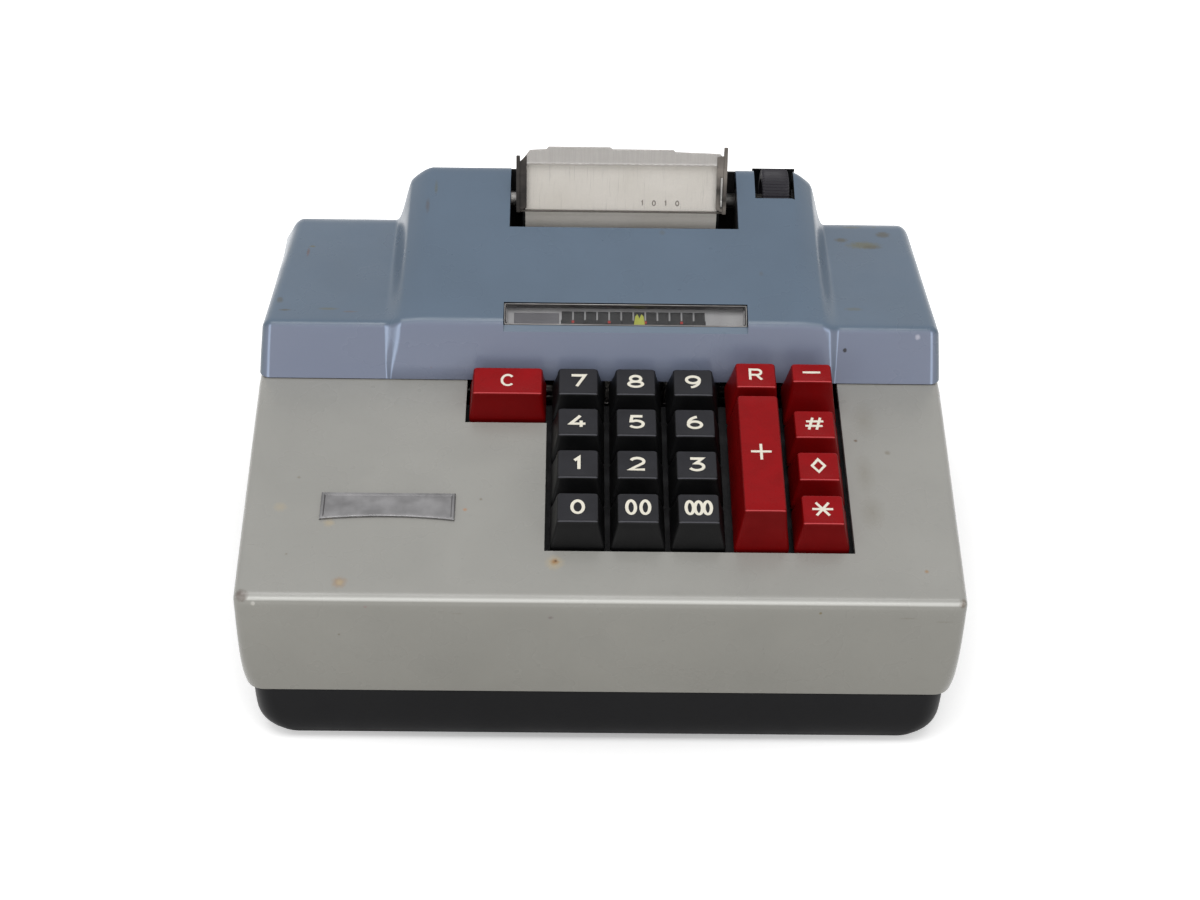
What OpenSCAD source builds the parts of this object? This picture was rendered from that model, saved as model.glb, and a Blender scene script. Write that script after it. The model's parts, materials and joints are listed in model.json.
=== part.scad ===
// Ten-key printing adding machine, in millimetres.
// The origin is under the middle of the case, on the surface it stands on. The front faces -Y.
// Inside the modules a depth is counted from the front of the case, and from_front() places it.

/* [Case] */
// Width of the case
case_w = 241.6; // [232:0.2:250]
// Depth of the case from the front edge to the rear wall
case_d = 228; // [226:1:236]
// Height of the rubber feet under the pan
foot_h = 3; // [2:0.5:5]
// Height of the joint between the pan and the lower case
pan_h = 24; // [20:1:26]
// Height of the front edge of the keyboard deck
deck_front_h = 65; // [63:0.5:67]
// Slope of the keyboard deck in degrees
deck_tilt = 9.2; // [8.4:0.2:10]
// Length of the keyboard deck along its slope
deck_len = 102; // [101:0.5:105]
// Wall thickness of the case
wall = 2.5; // [2:0.1:3]
// Radius of the deck's front and side edges
edge_r = 3.2; // [3.1:0.1:4.5]
// Corner radius in plan where the pan meets the lower case
corner_r = 6.5; // [5.5:0.5:9]
// How much narrower each side of the case is at the front than at the back
front_in = 1.5; // [0:0.1:3]
// How far the lower case tucks in at each side at the pan joint
side_tuck = 1; // [0.5:0.1:2.5]
// How far the pan stands in from the lower case at each side
pan_step = 2.2; // [1:0.1:2.3]

/* [Cover] */
// Height of the shoulders above the joint with the lower case
shoulder_rise = 20; // [18:0.5:22]
// Distance from the shoulders' end, where the back starts to slant down, to the rear wall
shoulder_back = 49; // [46:0.5:51]
// Slant of the case's back, measured from level, in degrees
back_slant = 42; // [40:0.5:44]
// Height of the tower's crest above the shoulders
tower_rise = 23.7; // [22.5:0.2:26]
// Distance from the tower's crest to the rear wall
crest_back = 52; // [50:0.5:54]
// Sideways place of the tower's middle
tower_x = 3.8; // [2:0.1:5]
// Half width of the tower's flat top
tower_half = 65; // [64:0.5:68]
// Width of the curved flank on each side of the tower
flank_w = 15; // [13:0.5:18]

/* [Keyboard] */
// Distance between key columns
key_pitch_x = 20; // [19.2:0.1:20.2]
// Distance between key rows
key_pitch_y = 20; // [19.4:0.1:20.2]
// Sideways place of the first digit column
first_key_x = -7.9; // [-8.5:0.1:-5.5]
// Distance from the highest key row to the end of the deck
last_key_gap = 10; // [9.6:0.1:11]
// Extra space between the digits and the red keys at the right
function_gap = 1; // [0:0.1:2]
// Width and depth of a key at the deck
key_base = 18.2; // [17:0.1:18.6]
// Width of a key's top face
key_top_w = 14; // [12:0.1:15]
// Depth of a key's top face
key_top_d = 13.2; // [11:0.1:14]
// Height of the ordinary keys above the deck
key_h = 10; // [8:0.5:12]
// Extra height of the repeat, minus and plus keys
tall_extra = 4.8; // [2:0.1:6]
// Width of the clear key at the deck
clear_key_w = 26.7; // [25:0.1:28]
// Space between the clear key and the digits
clear_gap = 2.1; // [1.4:0.1:3.5]
// How far a key travels when it is pressed
key_travel = 4; // [3:0.1:4.5]
// Space between the keys and the edge of the cut-out
cutout_margin = 1.8; // [1.5:0.1:3.5]
// Width of a key stem's flat blade
stem_w = 5; // [4:0.1:6]
// Thickness of a key stem's flat blade
stem_t = 2; // [1.6:0.1:2.4]
// Radius of the round tip below the blade
stem_pin_r = 1.2; // [1:0.1:1.5]

/* [Paper and platen] */
// Width of the paper
paper_w = 70; // [66:0.5:72]
// Sideways place of the paper's middle
paper_x = 7.3; // [7.1:0.1:8.9]
// Room in the cover's notch at each side of the paper
notch_room = 6.5; // [5.5:0.1:8]
// How far the paper notch reaches forward of the crest
notch_d = 28; // [26:0.5:29.5]
// How far the platen's axis lies in front of the crest
platen_front = 3; // [2.5:0.5:4]
// Height of the platen's axis
platen_z = 113.5; // [112.5:0.5:114]
// Radius of the platen roller
platen_r = 13; // [12:0.1:13.2]
// Radius of the platen shaft
platen_shaft_r = 3; // [2.5:0.1:3.5]
// Radius of the paper roll
roll_r = 24; // [20:0.5:24.5]
// Distance from the paper roll's axis to the rear wall
roll_back = 26; // [25:0.5:27]
// Height of the paper roll's axis
roll_z = 80; // [79:0.5:81]
// Radius of the bar that carries the roll
spindle_r = 6; // [4:0.5:8]
// Length of the tear shield along its slope
shield_len = 25; // [20:0.5:27]
// Thickness of the clear tear shield
shield_t = 1.2; // [0.8:0.1:2]
// Radius of the thumbwheel
thumb_r = 12.3; // [11.5:0.1:13]
// Width of the thumbwheel
thumb_w = 9.8; // [8:0.2:10]
// Sideways place of the thumbwheel's middle
thumb_x = 64.2; // [64.1:0.1:64.9]

/* [Column indicator] */
// Length of the indicator window
window_w = 86; // [82:0.5:90]
// Height of the indicator window along its slope
window_d = 9.3; // [8.6:0.1:10]
// Sideways place of the window's middle
window_x = 8.6; // [8:0.1:11]
// Number of places on the indicator scale
places = 12; // [8:1:13]
// Distance between the places, and between the type bars
place_pitch = 4.27; // [4:0.01:4.3]
// Place that the pointer shows at rest, counted from the left
shown_place = 6; // [4:1:7]

/* [Mechanism] */
// Half of the distance between the two side frames
frame_half = 66.6; // [66.4:0.1:67]
// Thickness of the side frames
frame_t = 2; // [1.5:0.1:2.5]
// Radius of the bars that join the side frames
bar_r = 3; // [2:0.1:3.5]
// Gear module of the motor drive
gear_module = 0.8; // [0.7:0.05:0.85]
// Number of teeth on the main gear
main_teeth = 48; // [40:4:52]
// Number of teeth on the motor pinion
pinion_teeth = 12; // [12:4:16]
// Radius of the motor
motor_r = 20; // [16:0.5:21]
// Gap between the motor's end and the foot of the pan's side wall
motor_gap = 12.7; // [9:0.1:16]
// Radius of the main shaft
main_shaft_r = 4; // [3:0.1:5]
// Radius of the register wheels
register_r = 7.5; // [5:0.5:8]
// Radius of the ribbon spools' flanges
spool_r = 9.8; // [8.6:0.1:10]

/* [Fits] */
// Gap between a shaft and its bearing, on the radius
shaft_gap = 0.05; // [0.02:0.01:0.09]
// Gap between pieces that move past each other
run_gap = 0.4; // [0.3:0.05:0.5]

/* [Hidden] */

$fn = 48;
tiny = 0.01;
case_grey = [0.65, 0.64, 0.61];
pan_black = [0.16, 0.16, 0.17];
cover_blue = [0.43, 0.50, 0.58];
key_black = [0.2, 0.2, 0.22];
key_red = [0.69, 0.11, 0.14];
steel = [0.62, 0.62, 0.63];
dark_steel = [0.3, 0.3, 0.31];
brass = [0.72, 0.58, 0.3];
rubber = [0.12, 0.12, 0.12];
paper_white = [0.88, 0.86, 0.8];
clear = [0.85, 0.87, 0.88, 0.45];

// Heights and depths of the case that follow from the sizes above
deck_end_y = deck_len * cos(deck_tilt);
cover_z = deck_front_h + deck_len * sin(deck_tilt);
shoulder_z = cover_z + shoulder_rise;
crest_z = shoulder_z + tower_rise;
shoulder_end = case_d - shoulder_back;
crest_y = case_d - crest_back;
notch_y = crest_y - notch_d;
platen_y = crest_y - platen_front;
roll_y = case_d - roll_back;
back_foot_y = shoulder_end + shoulder_rise / tan(back_slant);
back_wall_z = cover_z - (case_d - back_foot_y) * tan(back_slant);
floor_z = foot_h + wall;
rear_r = 4;
front_tuck = 1.5;

module from_front() {
    translate([0, -case_d / 2, 0]) children();
}

// A frame on the deck: y runs up the slope, z stands square to the deck
module on_deck() {
    from_front() translate([0, 0, deck_front_h]) rotate([deck_tilt, 0, 0]) children();
}

// A point of the deck's side view, from its place along the deck and its height over it
function deck_point(u, h) = [u * cos(deck_tilt) - h * sin(deck_tilt),
                             deck_front_h + u * sin(deck_tilt) + h * cos(deck_tilt)];

// A bar along X, from x0 to x1, at a depth and a height
module bar_x(x0, x1, y, z, r) {
    translate([x0, y, z]) rotate([0, 90, 0]) cylinder(h = x1 - x0, r = r);
}

// A plate in the side view, from x0 to x1, with its outline given in depth and height
module plate_x(x0, x1) {
    translate([x0, 0, 0]) rotate([90, 0, 90]) linear_extrude(x1 - x0) children();
}

// One layer of the tub: four upright corners, the front ones a little nearer together
module tub_layer(half_w, front, rear, r, z) {
    for (x = [-1, 1]) {
        translate([x * (half_w - front_in - r), front + r, z]) cylinder(h = 0.2, r = r, $fn = 32);
        translate([x * (half_w - r), rear - r, z]) cylinder(h = 0.2, r = r, $fn = 32);
    }
}

joint_half = case_w / 2 - side_tuck;
pan_half = joint_half - pan_step;

// Pan: a tub whose corners grow rounder toward the bottom. The value t insets its walls.
pan_mid_z = foot_h + 0.45 * (pan_h - foot_h);
pan_low_z = foot_h + 0.15 * (pan_h - foot_h);
pan_taper = 4.6;
module pan_shape(t, top) {
    hull() {
        tub_layer(pan_half - t, front_tuck + t, case_d - front_tuck - t, corner_r + 0.5 - t, top - 0.2);
        tub_layer(pan_half - 0.4 - t, front_tuck + 0.4 + t, case_d - front_tuck - 0.4 - t,
                  corner_r + 2 - t, pan_mid_z + t);
        tub_layer(pan_half - 2 - t, front_tuck + 1.2 + t, case_d - front_tuck - 1.2 - t,
                  corner_r + 5 - t, pan_low_z + t);
        tub_layer(pan_half - pan_taper - t, front_tuck + 3 + t, case_d - front_tuck - 3 - t,
                  corner_r + 7 - t, foot_h + t);
    }
}

boss_x = case_w / 2 - 21.8;
boss_front = 22;
boss_rear = case_d - 24;
boss_r = 5;
screw_r = 1.7;
boss_top = pan_h - 2;
function boss_places() = [for (x = [-1, 1], y = [boss_front, boss_rear]) [x * boss_x, y]];

module base_pan() {
    color(pan_black) from_front() difference() {
        union() {
            difference() {
                pan_shape(0, pan_h);
                pan_shape(wall, pan_h + 1);
            }
            for (p = boss_places())
                translate([p[0], p[1], foot_h + wall / 2])
                    cylinder(h = boss_top - foot_h - wall / 2, r = boss_r);
        }
        for (p = boss_places()) {
            translate([p[0], p[1], foot_h - 1]) cylinder(h = pan_h, r = screw_r + 0.4);
            translate([p[0], p[1], foot_h - 1]) cylinder(h = 1 + head_h + 1, r = head_r + 0.4);
        }
    }
}

foot_r = 7.5;
foot_x = case_w / 2 - 44.8;
module rubber_feet() {
    color(rubber) from_front()
        for (x = [-foot_x, foot_x], y = [26, case_d - 26]) {
            translate([x, y, 0]) cylinder(h = foot_h / 2, r1 = foot_r - 0.8, r2 = foot_r);
            translate([x, y, foot_h / 2 - tiny]) cylinder(h = foot_h / 2 + tiny, r = foot_r);
        }
}

head_r = 3.2;
head_h = 2.2;
screw_len = boss_top - foot_h + 8;
module case_screws() {
    color(steel) from_front()
        for (p = boss_places()) translate([p[0], p[1], foot_h + 1]) difference() {
            union() {
                cylinder(h = head_h, r = head_r);
                cylinder(h = screw_len, r = screw_r);
            }
            translate([-head_r - 1, -0.4, -1]) cube([2 * head_r + 2, 0.8, 2]);
        }
}

// Lower case: straight at the deck, tucked in and rounder at the pan. The value t insets its walls.
module case_shape(t, low) {
    r = edge_r - t;
    front = edge_r;
    deck_r = [front, deck_front_h + front * tan(deck_tilt) - edge_r / cos(deck_tilt)];
    far = deck_point(deck_len - edge_r, -edge_r);
    hull() {
        for (side = [-1, 1]) {
            translate([side * (case_w / 2 - front_in - edge_r), deck_r[0], deck_r[1]]) sphere(r = r, $fn = 24);
            translate([side * (case_w / 2 - edge_r), far[0], far[1]]) sphere(r = r, $fn = 24);
            translate([side * (case_w / 2 - edge_r), deck_end_y + 1, cover_z - edge_r - 1])
                sphere(r = r, $fn = 16);
        }
        for (x = [-1, 1] * (case_w / 2 - rear_r)) {
            translate([x, case_d - rear_r, back_wall_z - 0.4 * rear_r]) sphere(r = rear_r - t, $fn = 24);
            translate([x, back_foot_y - rear_r - 1.1 * t, cover_z - t - 0.2])
                cylinder(h = 0.2, r = rear_r - t, $fn = 24);
            translate([x, deck_end_y + rear_r, cover_z - t - 0.2])
                cylinder(h = 0.2, r = rear_r - t, $fn = 24);
        }
        tub_layer(joint_half + 0.9 - t, 0.5 + t, case_d - 0.5 - t, corner_r - 1.5 - t, pan_h + 12);
        tub_layer(joint_half - t, front_tuck + t, case_d - front_tuck - t, corner_r - t, low);
    }
}

// Places of the key columns and rows on the deck
first_key_u = deck_len - last_key_gap - 3 * key_pitch_y;
function key_x(column) = first_key_x + column * key_pitch_x + (column > 2 ? function_gap : 0);
function key_u(row) = first_key_u + row * key_pitch_y;
clear_key_x = key_x(0) - key_base / 2 - clear_gap - clear_key_w / 2;
cut_left = key_x(0) - key_base / 2 - cutout_margin;
cut_right = key_x(4) + key_base / 2 + cutout_margin;
front_margin = 1.5;
cut_front = key_u(0) - key_base / 2 - front_margin;
clear_margin = 1.3;
clear_left = clear_key_x - clear_key_w / 2 - clear_margin;
clear_front = key_u(3) - key_base / 2 - cutout_margin;

notch_w = paper_w + 2 * notch_room;
notch_left = paper_x + 1 - notch_w / 2;
notch_right = paper_x + 1 + notch_w / 2;
well_y = back_foot_y - 6;
well_end = case_d - 5;
well_low = back_wall_z + 1.5;
rim = 8;

inlet_x = 40.8 - case_w / 2;
inlet_z = (pan_h + back_wall_z) / 2;
inlet_w = 24;
inlet_h = 15;
vent_w = 3;
vent_pitch = 7;
vent_count = 8;
vent_x = 40;

module lower_housing() {
    color(case_grey) from_front() difference() {
        union() {
            difference() {
                case_shape(0, pan_h);
                case_shape(wall, pan_h - 1);
            }
            intersection() {
                case_shape(0.5, boss_top);
                for (p = boss_places())
                    translate([p[0], p[1], boss_top]) cylinder(h = case_d, r = boss_r - 0.5);
            }
        }
        for (p = boss_places()) translate([p[0], p[1], boss_top - 1]) cylinder(h = 12, r = screw_r);
        translate([0, 0, deck_front_h]) rotate([deck_tilt, 0, 0]) {
            translate([cut_left, cut_front, -20]) cube([cut_right - cut_left, deck_len - cut_front + 8, 40]);
            translate([clear_left, clear_front, -20])
                cube([cut_left - clear_left + 1, deck_len - clear_front + 8, 40]);
        }
        translate([rim - case_w / 2, deck_end_y + 5, cover_z - 10])
            cube([case_w - 2 * rim, back_foot_y - deck_end_y - 5 - rim, 20]);
        translate([notch_left - 1, well_y - 20, well_low])
            cube([notch_w + 2, well_end - well_y + 20, 40]);
        translate([inlet_x - inlet_w / 2, case_d - 8, inlet_z - inlet_h / 2]) cube([inlet_w, 10, inlet_h]);
        for (i = [0:vent_count - 1])
            translate([vent_x + i * vent_pitch, case_d - 8, pan_h + 6])
                cube([vent_w, 10, back_wall_z - pan_h - 14]);
    }
}

// Points of a rounded corner b between the neighbours a and c
function toward(p, q, r) = p + (q - p) * r / norm(q - p);
function rounded(a, b, c, r) = let (s = toward(b, a, r), e = toward(b, c, r))
    [for (i = [0:3]) let (k = i / 3) (1 - k) * (1 - k) * s + 2 * k * (1 - k) * b + k * k * e];

// Corners of the side views of the shoulders and of the tower, from the front joint to the rear joint
strip_lean = 0.3;
function side_corners(front_top, rear_top) =
    [[deck_end_y, cover_z], front_top, rear_top, [back_foot_y, cover_z]];
shoulder_corners = side_corners([deck_end_y + shoulder_rise * strip_lean, shoulder_z],
                                [shoulder_end, shoulder_z]);
tower_corners = side_corners([deck_end_y + shoulder_rise * strip_lean, shoulder_z + 2.1],
                             [crest_y + 1.5, crest_z + 0.8]);

// Moves each line of a side view inward by t and finds the new corners
function unit(v) = v / norm(v);
function meet(p, u, q, v) = p + u * cross(q - p, v) / cross(u, v);
function inset_corners(c, t) = let (
        u = [for (i = [0:2]) unit(c[i + 1] - c[i])],
        p = [for (i = [0:2]) c[i] + t * [u[i][1], -u[i][0]]])
    [meet(p[0], u[0], c[0], [1, 0]), meet(p[0], u[0], p[1], u[1]), meet(p[1], u[1], p[2], u[2]),
     meet(p[2], u[2], c[3], [1, 0])];

// The side view at a share of the tower's height, inset by t and with its two upper corners rounded
front_r = 2.2;
crest_r = 5;
function side_view(share, t) = let (
        c = inset_corners(share * tower_corners + (1 - share) * shoulder_corners, t))
    concat([c[0]], rounded(c[0], c[1], c[2], max(0.5, front_r - 0.6 * t)), [(c[1] + c[2]) / 2],
           rounded(c[1], c[2], c[3], max(0.6, crest_r - 0.8 * t)), [c[3]]);

// How much of the tower's height is left at a share k of the flank, from its top edge outward:
// a slow fall that starts with a soft bend, then a steep wall with a soft foot
flank_drop = 0.5;
flank_bend = 0.06;
wall_from = 0.52;
wall_to = 0.98;
function ease(s) = s * s * (3 - 2 * s);
function flank(k) = (1 - flank_drop * (norm([k, flank_bend]) - flank_bend))
    * (1 - ease(max(0, min(1, (k - wall_from) / (wall_to - wall_from)))));
flank_steps = [1, 0.95, 0.9, 0.85, 0.8, 0.75, 0.7, 0.64, 0.55, 0.4, 0.2, 0];
end_steps = [0, 30, 60, 90];

// Stations across the cover: sideways place, share of the tower's height, inset of the rounded ends
function half_stations(side, t) = concat(
    [for (a = end_steps) [side * (case_w / 2 - t - rear_r * (1 - cos(a))), 0, rear_r * (1 - sin(a))]],
    [for (k = flank_steps) [tower_x + side * (tower_half - 0.6 * t + k * (flank_w - 0.4 * t)), flank(k), 0]]);
function reversed(list) = [for (i = [len(list) - 1:-1:0]) list[i]];
function stations(t) = concat(half_stations(-1, t), reversed(half_stations(1, t)));

// The shoulders' ends lean in a little, more at the back than at the front
lean_front = 1;
lean_back = 5.3;
function lean(x, y, z) = let (
        out = max(0, (abs(x - tower_x) - tower_half - flank_w) / (case_w / 2 - tower_half - flank_w)),
        back = max(0, min(1, (y - deck_end_y) / (shoulder_end - deck_end_y))),
        up = max(0, (z - cover_z) / shoulder_rise))
    x * (1 - out * up * (lean_front + lean_back * back) / (case_w / 2));

function loft_points(t, drop) = [for (s = stations(t))
    let (view = side_view(s[1], t + s[2]), last = len(view) - 1)
    for (i = [0:last]) let (y = view[i][0], z = (i == 0 || i == last) ? cover_z - drop : view[i][1])
        [lean(s[0], y, z), y, z]];
module cover_shape(t, drop) {
    n = len(side_view(0, 0));
    m = len(stations(t));
    polyhedron(points = loft_points(t, drop), faces = concat(
        [for (i = [1:n - 2]) [0, i + 1, i]],
        [for (i = [1:n - 2]) [(m - 1) * n, (m - 1) * n + i, (m - 1) * n + i + 1]],
        [for (s = [0:m - 2], i = [0:n - 1]) let (a = s * n, b = (s + 1) * n, j = (i + 1) % n)
            [a + i, a + j, b + i]],
        [for (s = [0:m - 2], i = [0:n - 1]) let (a = s * n, b = (s + 1) * n, j = (i + 1) % n)
            [a + j, b + j, b + i]]));
}

thumb_slot = 1.6;
window_low = [deck_end_y + 6.1, shoulder_z - 0.3];
window_high = [deck_end_y + 14.2, shoulder_z + 4.2];
window_tilt = atan2(window_high[1] - window_low[1], window_high[0] - window_low[0]);
window_mid = (window_low + window_high) / 2;

// A frame on the window's slope: y runs up the slope, z stands square to the glass
module on_window() {
    from_front() translate([window_x, window_mid[0], window_mid[1]]) rotate([window_tilt, 0, 0]) children();
}

module rear_cover() {
    color(cover_blue) difference() {
        from_front() difference() {
            cover_shape(0, 0);
            cover_shape(wall, 1);
            translate([notch_left, notch_y, shoulder_z + 2]) cube([notch_w, case_d - notch_y, 60]);
            translate([notch_left, crest_y - 8, cover_z - 1]) cube([notch_w, case_d - crest_y, 60]);
            bar_x(thumb_x - thumb_w / 2 - thumb_slot, thumb_x + thumb_w / 2 + thumb_slot, platen_y, platen_z,
                  thumb_r + 1.5 * run_gap);
        }
        on_window() {
            translate([-window_w / 2, -window_d / 2, -5]) cube([window_w, window_d, 20]);
            // The front strip's edge is cut level with the window, so that it doesn't hide the bezel
            translate([-window_w / 2, -window_d, 0]) cube([window_w, window_d, 20]);
        }
    }
}

badge_w = 45;
badge_d = 12;
badge_t = 1.1;
badge_x = 49.4 - case_w / 2;
badge_u = 40.2;
module badge_plate() {
    color(steel) on_deck() translate([badge_x - badge_w / 2, badge_u - badge_d / 2, 0])
        cube([badge_w, badge_d, badge_t]);
}

inlet_depth = 16;
module power_inlet() {
    color(rubber) from_front() difference() {
        union() {
            translate([inlet_x - inlet_w / 2 + 0.1, case_d - inlet_depth - wall, inlet_z - inlet_h / 2 + 0.1])
                cube([inlet_w - 0.2, inlet_depth + wall - 0.5, inlet_h - 0.2]);
            translate([inlet_x - inlet_w / 2 - 3, case_d - wall - 3.2, inlet_z - inlet_h / 2 - 3])
                cube([inlet_w + 6, 2, inlet_h + 6]);
        }
        translate([inlet_x - inlet_w / 2 + 1.8, case_d - inlet_depth, inlet_z - inlet_h / 2 + 1.8])
            cube([inlet_w - 3.6, inlet_depth + 1, inlet_h - 3.6]);
        for (x = [-1, 1] * inlet_pin_gap / 2)
            translate([inlet_x + x, case_d - 4, inlet_z]) rotate([90, 0, 0])
                cylinder(h = 40, r = inlet_pin_r);
    }
}

inlet_pin_r = 2;
inlet_pin_gap = 13;
module inlet_pins() {
    color(brass) from_front()
        for (x = [-1, 1] * inlet_pin_gap / 2)
            translate([inlet_x + x, case_d - 4, inlet_z]) rotate([90, 0, 0])
                cylinder(h = inlet_depth + 3, r = inlet_pin_r);
}

bezel_rim = 1.1;
bezel_t = 2;
module window_bezel() {
    color(dark_steel) on_window() difference() {
        translate([0.1 - window_w / 2, 0.1 - window_d / 2, -bezel_t])
            cube([window_w - 0.2, window_d - 0.2, bezel_t]);
        translate([bezel_rim - window_w / 2, bezel_rim - window_d / 2, -bezel_t - 1])
            cube([window_w - 2 * bezel_rim, window_d - 2 * bezel_rim, bezel_t + 2]);
    }
}

module window_lens() {
    color(clear) on_window() translate([bezel_rim - window_w / 2, bezel_rim - window_d / 2, -1.6])
        cube([window_w - 2 * bezel_rim, window_d - 2 * bezel_rim, 1]);
}

// The scale hangs from the bezel by a tab at each end
scale_n = -3.7;
scale_low = -2.3;
scale_d = 7.2;
module indicator_scale() {
    color(pan_black) on_window() {
        translate([0.2 - window_w / 2, scale_low, scale_n - 1]) cube([window_w - 0.4, scale_d, 1]);
        for (x = [0.2 - window_w / 2, window_w / 2 - 1.2]) translate([x, scale_low, scale_n - tiny])
            cube([1, scale_d - 1.5, -bezel_t - scale_n + tiny]);
    }
}

// Sideways place of the middle of the place under the pointer at rest
place_x0 = paper_x + 4.1 - (places - 1) / 2 * place_pitch;
pointer_x = place_x0 + shown_place * place_pitch;
carriage_y = deck_end_y + 10.3;
carriage_d = 16;
carriage_h = 21;
carriage_z = cover_z - 2.3 - carriage_h;
carriage_w = places * place_pitch + 8;
pointer_y = carriage_y - 1.3;
pointer_t = 0.8;
module indicator_pointer() {
    color([0.78, 0.8, 0.2]) {
        from_front() translate([pointer_x - 1.5, pointer_y, carriage_z + 8])
            cube([3, pointer_t, window_mid[1] - 4 - carriage_z - 8]);
        from_front() translate([pointer_x - 1.5, pointer_y, carriage_z + 8]) cube([3, 1.3, 5]);
        on_window() translate([pointer_x - window_x - 2, -2.6, -3.2]) cube([4, 4.6, 0.6]);
    }
}

module pin_carriage() {
    color(steel) from_front() difference() {
        translate([pointer_x - carriage_w / 2, carriage_y, carriage_z])
            cube([carriage_w, carriage_d, carriage_h]);
        for (i = [0:places - 1])
            translate([pointer_x + (i - (places - 1) / 2) * place_pitch - 1, carriage_y - 1, carriage_z + 7])
                cube([2, carriage_d - 6, carriage_h - 10]);
        for (p = rail_places)
            bar_x(pointer_x - carriage_w, pointer_x + carriage_w, p[0], p[1], rail_r + shaft_gap);
    }
}

rail_r = 2;
rail_places = [[carriage_y + carriage_d - 4, carriage_z + 4],
               [carriage_y + carriage_d - 3, carriage_z + carriage_h - 4]];
module carriage_rails() {
    color(steel) from_front()
        for (p = rail_places) bar_x(frame_x0 - frame_t, frame_x1 + frame_t, p[0], p[1], rail_r);
}

// Inner faces of the two side frames
frame_x0 = tower_x - frame_half;
frame_x1 = tower_x + frame_half;

roll_bar = [roll_y - 12.8, roll_z - 27.4];
frame_front = deck_end_y + 5.3;
frame_end = case_d - 32;
bar_places = [[frame_front + 6, floor_z + 7], [frame_end - 10, floor_z + 9],
              [platen_y + 1, platen_z - 26.5], roll_bar];
motor_y = 146;
motor_z = floor_z + motor_r + 2.5;
gear_gap = gear_module * (main_teeth + pinion_teeth) / 2 + 0.1;
main_y = motor_y - gear_gap * cos(19);
main_z = motor_z + gear_gap * sin(19);

bearing_r = platen_shaft_r + 1.8;
module frame_outline() {
    polygon([[frame_front, floor_z], [frame_end, floor_z], [frame_end, roll_bar[1] + 9],
             [platen_y + 10, platen_z - 12], [platen_y + bearing_r, platen_z],
             [platen_y - bearing_r, platen_z], [platen_y - 23, platen_z - 7.5],
             [frame_front + 6, shoulder_z - 6], [frame_front, cover_z - 4]]);
    translate([platen_y, platen_z]) circle(r = bearing_r);
}

// One side frame with its bearings. The motor's hole is only in the left one.
module side_frame(x) {
    difference() {
        union() {
            plate_x(x, x + frame_t) frame_outline();
            for (y = [frame_front + 1, frame_end - 20])
                translate([x < 0 ? x - 7 : x, y, floor_z]) cube([frame_t + 7, 14, 2]);
        }
        for (p = bar_places) bar_x(x - 1, x + frame_t + 1, p[0], p[1], bar_r);
        for (p = rail_places) bar_x(x - 1, x + frame_t + 1, p[0], p[1], rail_r);
        bar_x(x - 1, x + frame_t + 1, platen_y, platen_z, platen_shaft_r + shaft_gap);
        bar_x(x - 1, x + frame_t + 1, main_y, main_z, main_shaft_r + shaft_gap);
        bar_x(x - 1, x + frame_t + 1, register_y, register_z, register_shaft_r + shaft_gap);
        translate([x - 1, guide_y - guide_tab / 2, guide_low_z]) cube([frame_t + 2, guide_tab, guide_t]);
        translate([x - 1, guide_y - guide_tab / 2, guide_high_z]) cube([frame_t + 2, guide_tab, guide_t]);
    }
}

module frame_left() {
    color(dark_steel) from_front() difference() {
        side_frame(frame_x0 - frame_t);
        bar_x(frame_x0 - frame_t - 1, frame_x0 + 1, motor_y, motor_z, motor_shaft_r + 2);
    }
}

module frame_right() {
    color(dark_steel) from_front() side_frame(frame_x1);
}

module cross_bars() {
    color(steel) from_front()
        for (p = bar_places) bar_x(frame_x0 - frame_t, frame_x1 + frame_t, p[0], p[1], bar_r);
}

// Keyboard: two guide plates under the deck, on cheeks that stand on the pan
skirt = 2;
sheet = 1.5;
upper_depth = skirt + key_travel + 2;
lower_depth = upper_depth + 16;
shoulder_depth = lower_depth - key_travel - 3;
tip_depth = lower_depth + sheet + 5.5;
plus_stems = [key_u(0) + 8, key_u(2) - 8];
function stem_places() = concat(
    [for (c = [0, 1, 2], r = [0:3]) [key_x(c), key_u(r)]],
    [for (r = [0:3]) [key_x(4), key_u(r)]],
    [[clear_key_x, key_u(3)], [key_x(3), key_u(3)], [key_x(3), plus_stems[0]], [key_x(3), plus_stems[1]]]);
plate_left = clear_left - 6;
plate_right = cut_right + 6;
plate_front = cut_front + 1;
plate_end = deck_len - 4;

module guide_plate(depth) {
    translate([plate_left, plate_front, -depth - sheet])
        cube([plate_right - plate_left, plate_end - plate_front, sheet]);
}

module key_guide_upper() {
    color(dark_steel) on_deck() difference() {
        guide_plate(upper_depth);
        for (p = stem_places())
            translate([p[0] - stem_w / 2 - run_gap, p[1] - stem_t / 2 - run_gap, -upper_depth - sheet - 1])
                cube([stem_w + 2 * run_gap, stem_t + 2 * run_gap, sheet + 2]);
    }
}

module key_guide_lower() {
    color(dark_steel) {
        on_deck() difference() {
            guide_plate(lower_depth);
            for (p = stem_places()) translate([p[0], p[1], -lower_depth - sheet - 1])
                cylinder(h = sheet + 2, r = stem_pin_r + shaft_gap);
        }
        from_front() for (x = [plate_left, plate_right - 2]) plate_x(x, x + 2) polygon([
            [deck_point(plate_front, 0)[0] + 4, floor_z], [deck_point(plate_end, 0)[0], floor_z],
            deck_point(plate_end, -upper_depth - sheet), deck_point(plate_front, -upper_depth - sheet)]);
    }
}

spring_r = 2.6;
module key_springs() {
    color(steel) on_deck() for (p = stem_places()) translate([p[0], p[1], -lower_depth]) difference() {
        cylinder(h = lower_depth - shoulder_depth, r = spring_r);
        translate([0, 0, -1]) cylinder(h = lower_depth, r = spring_r - 0.7);
    }
}

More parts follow.
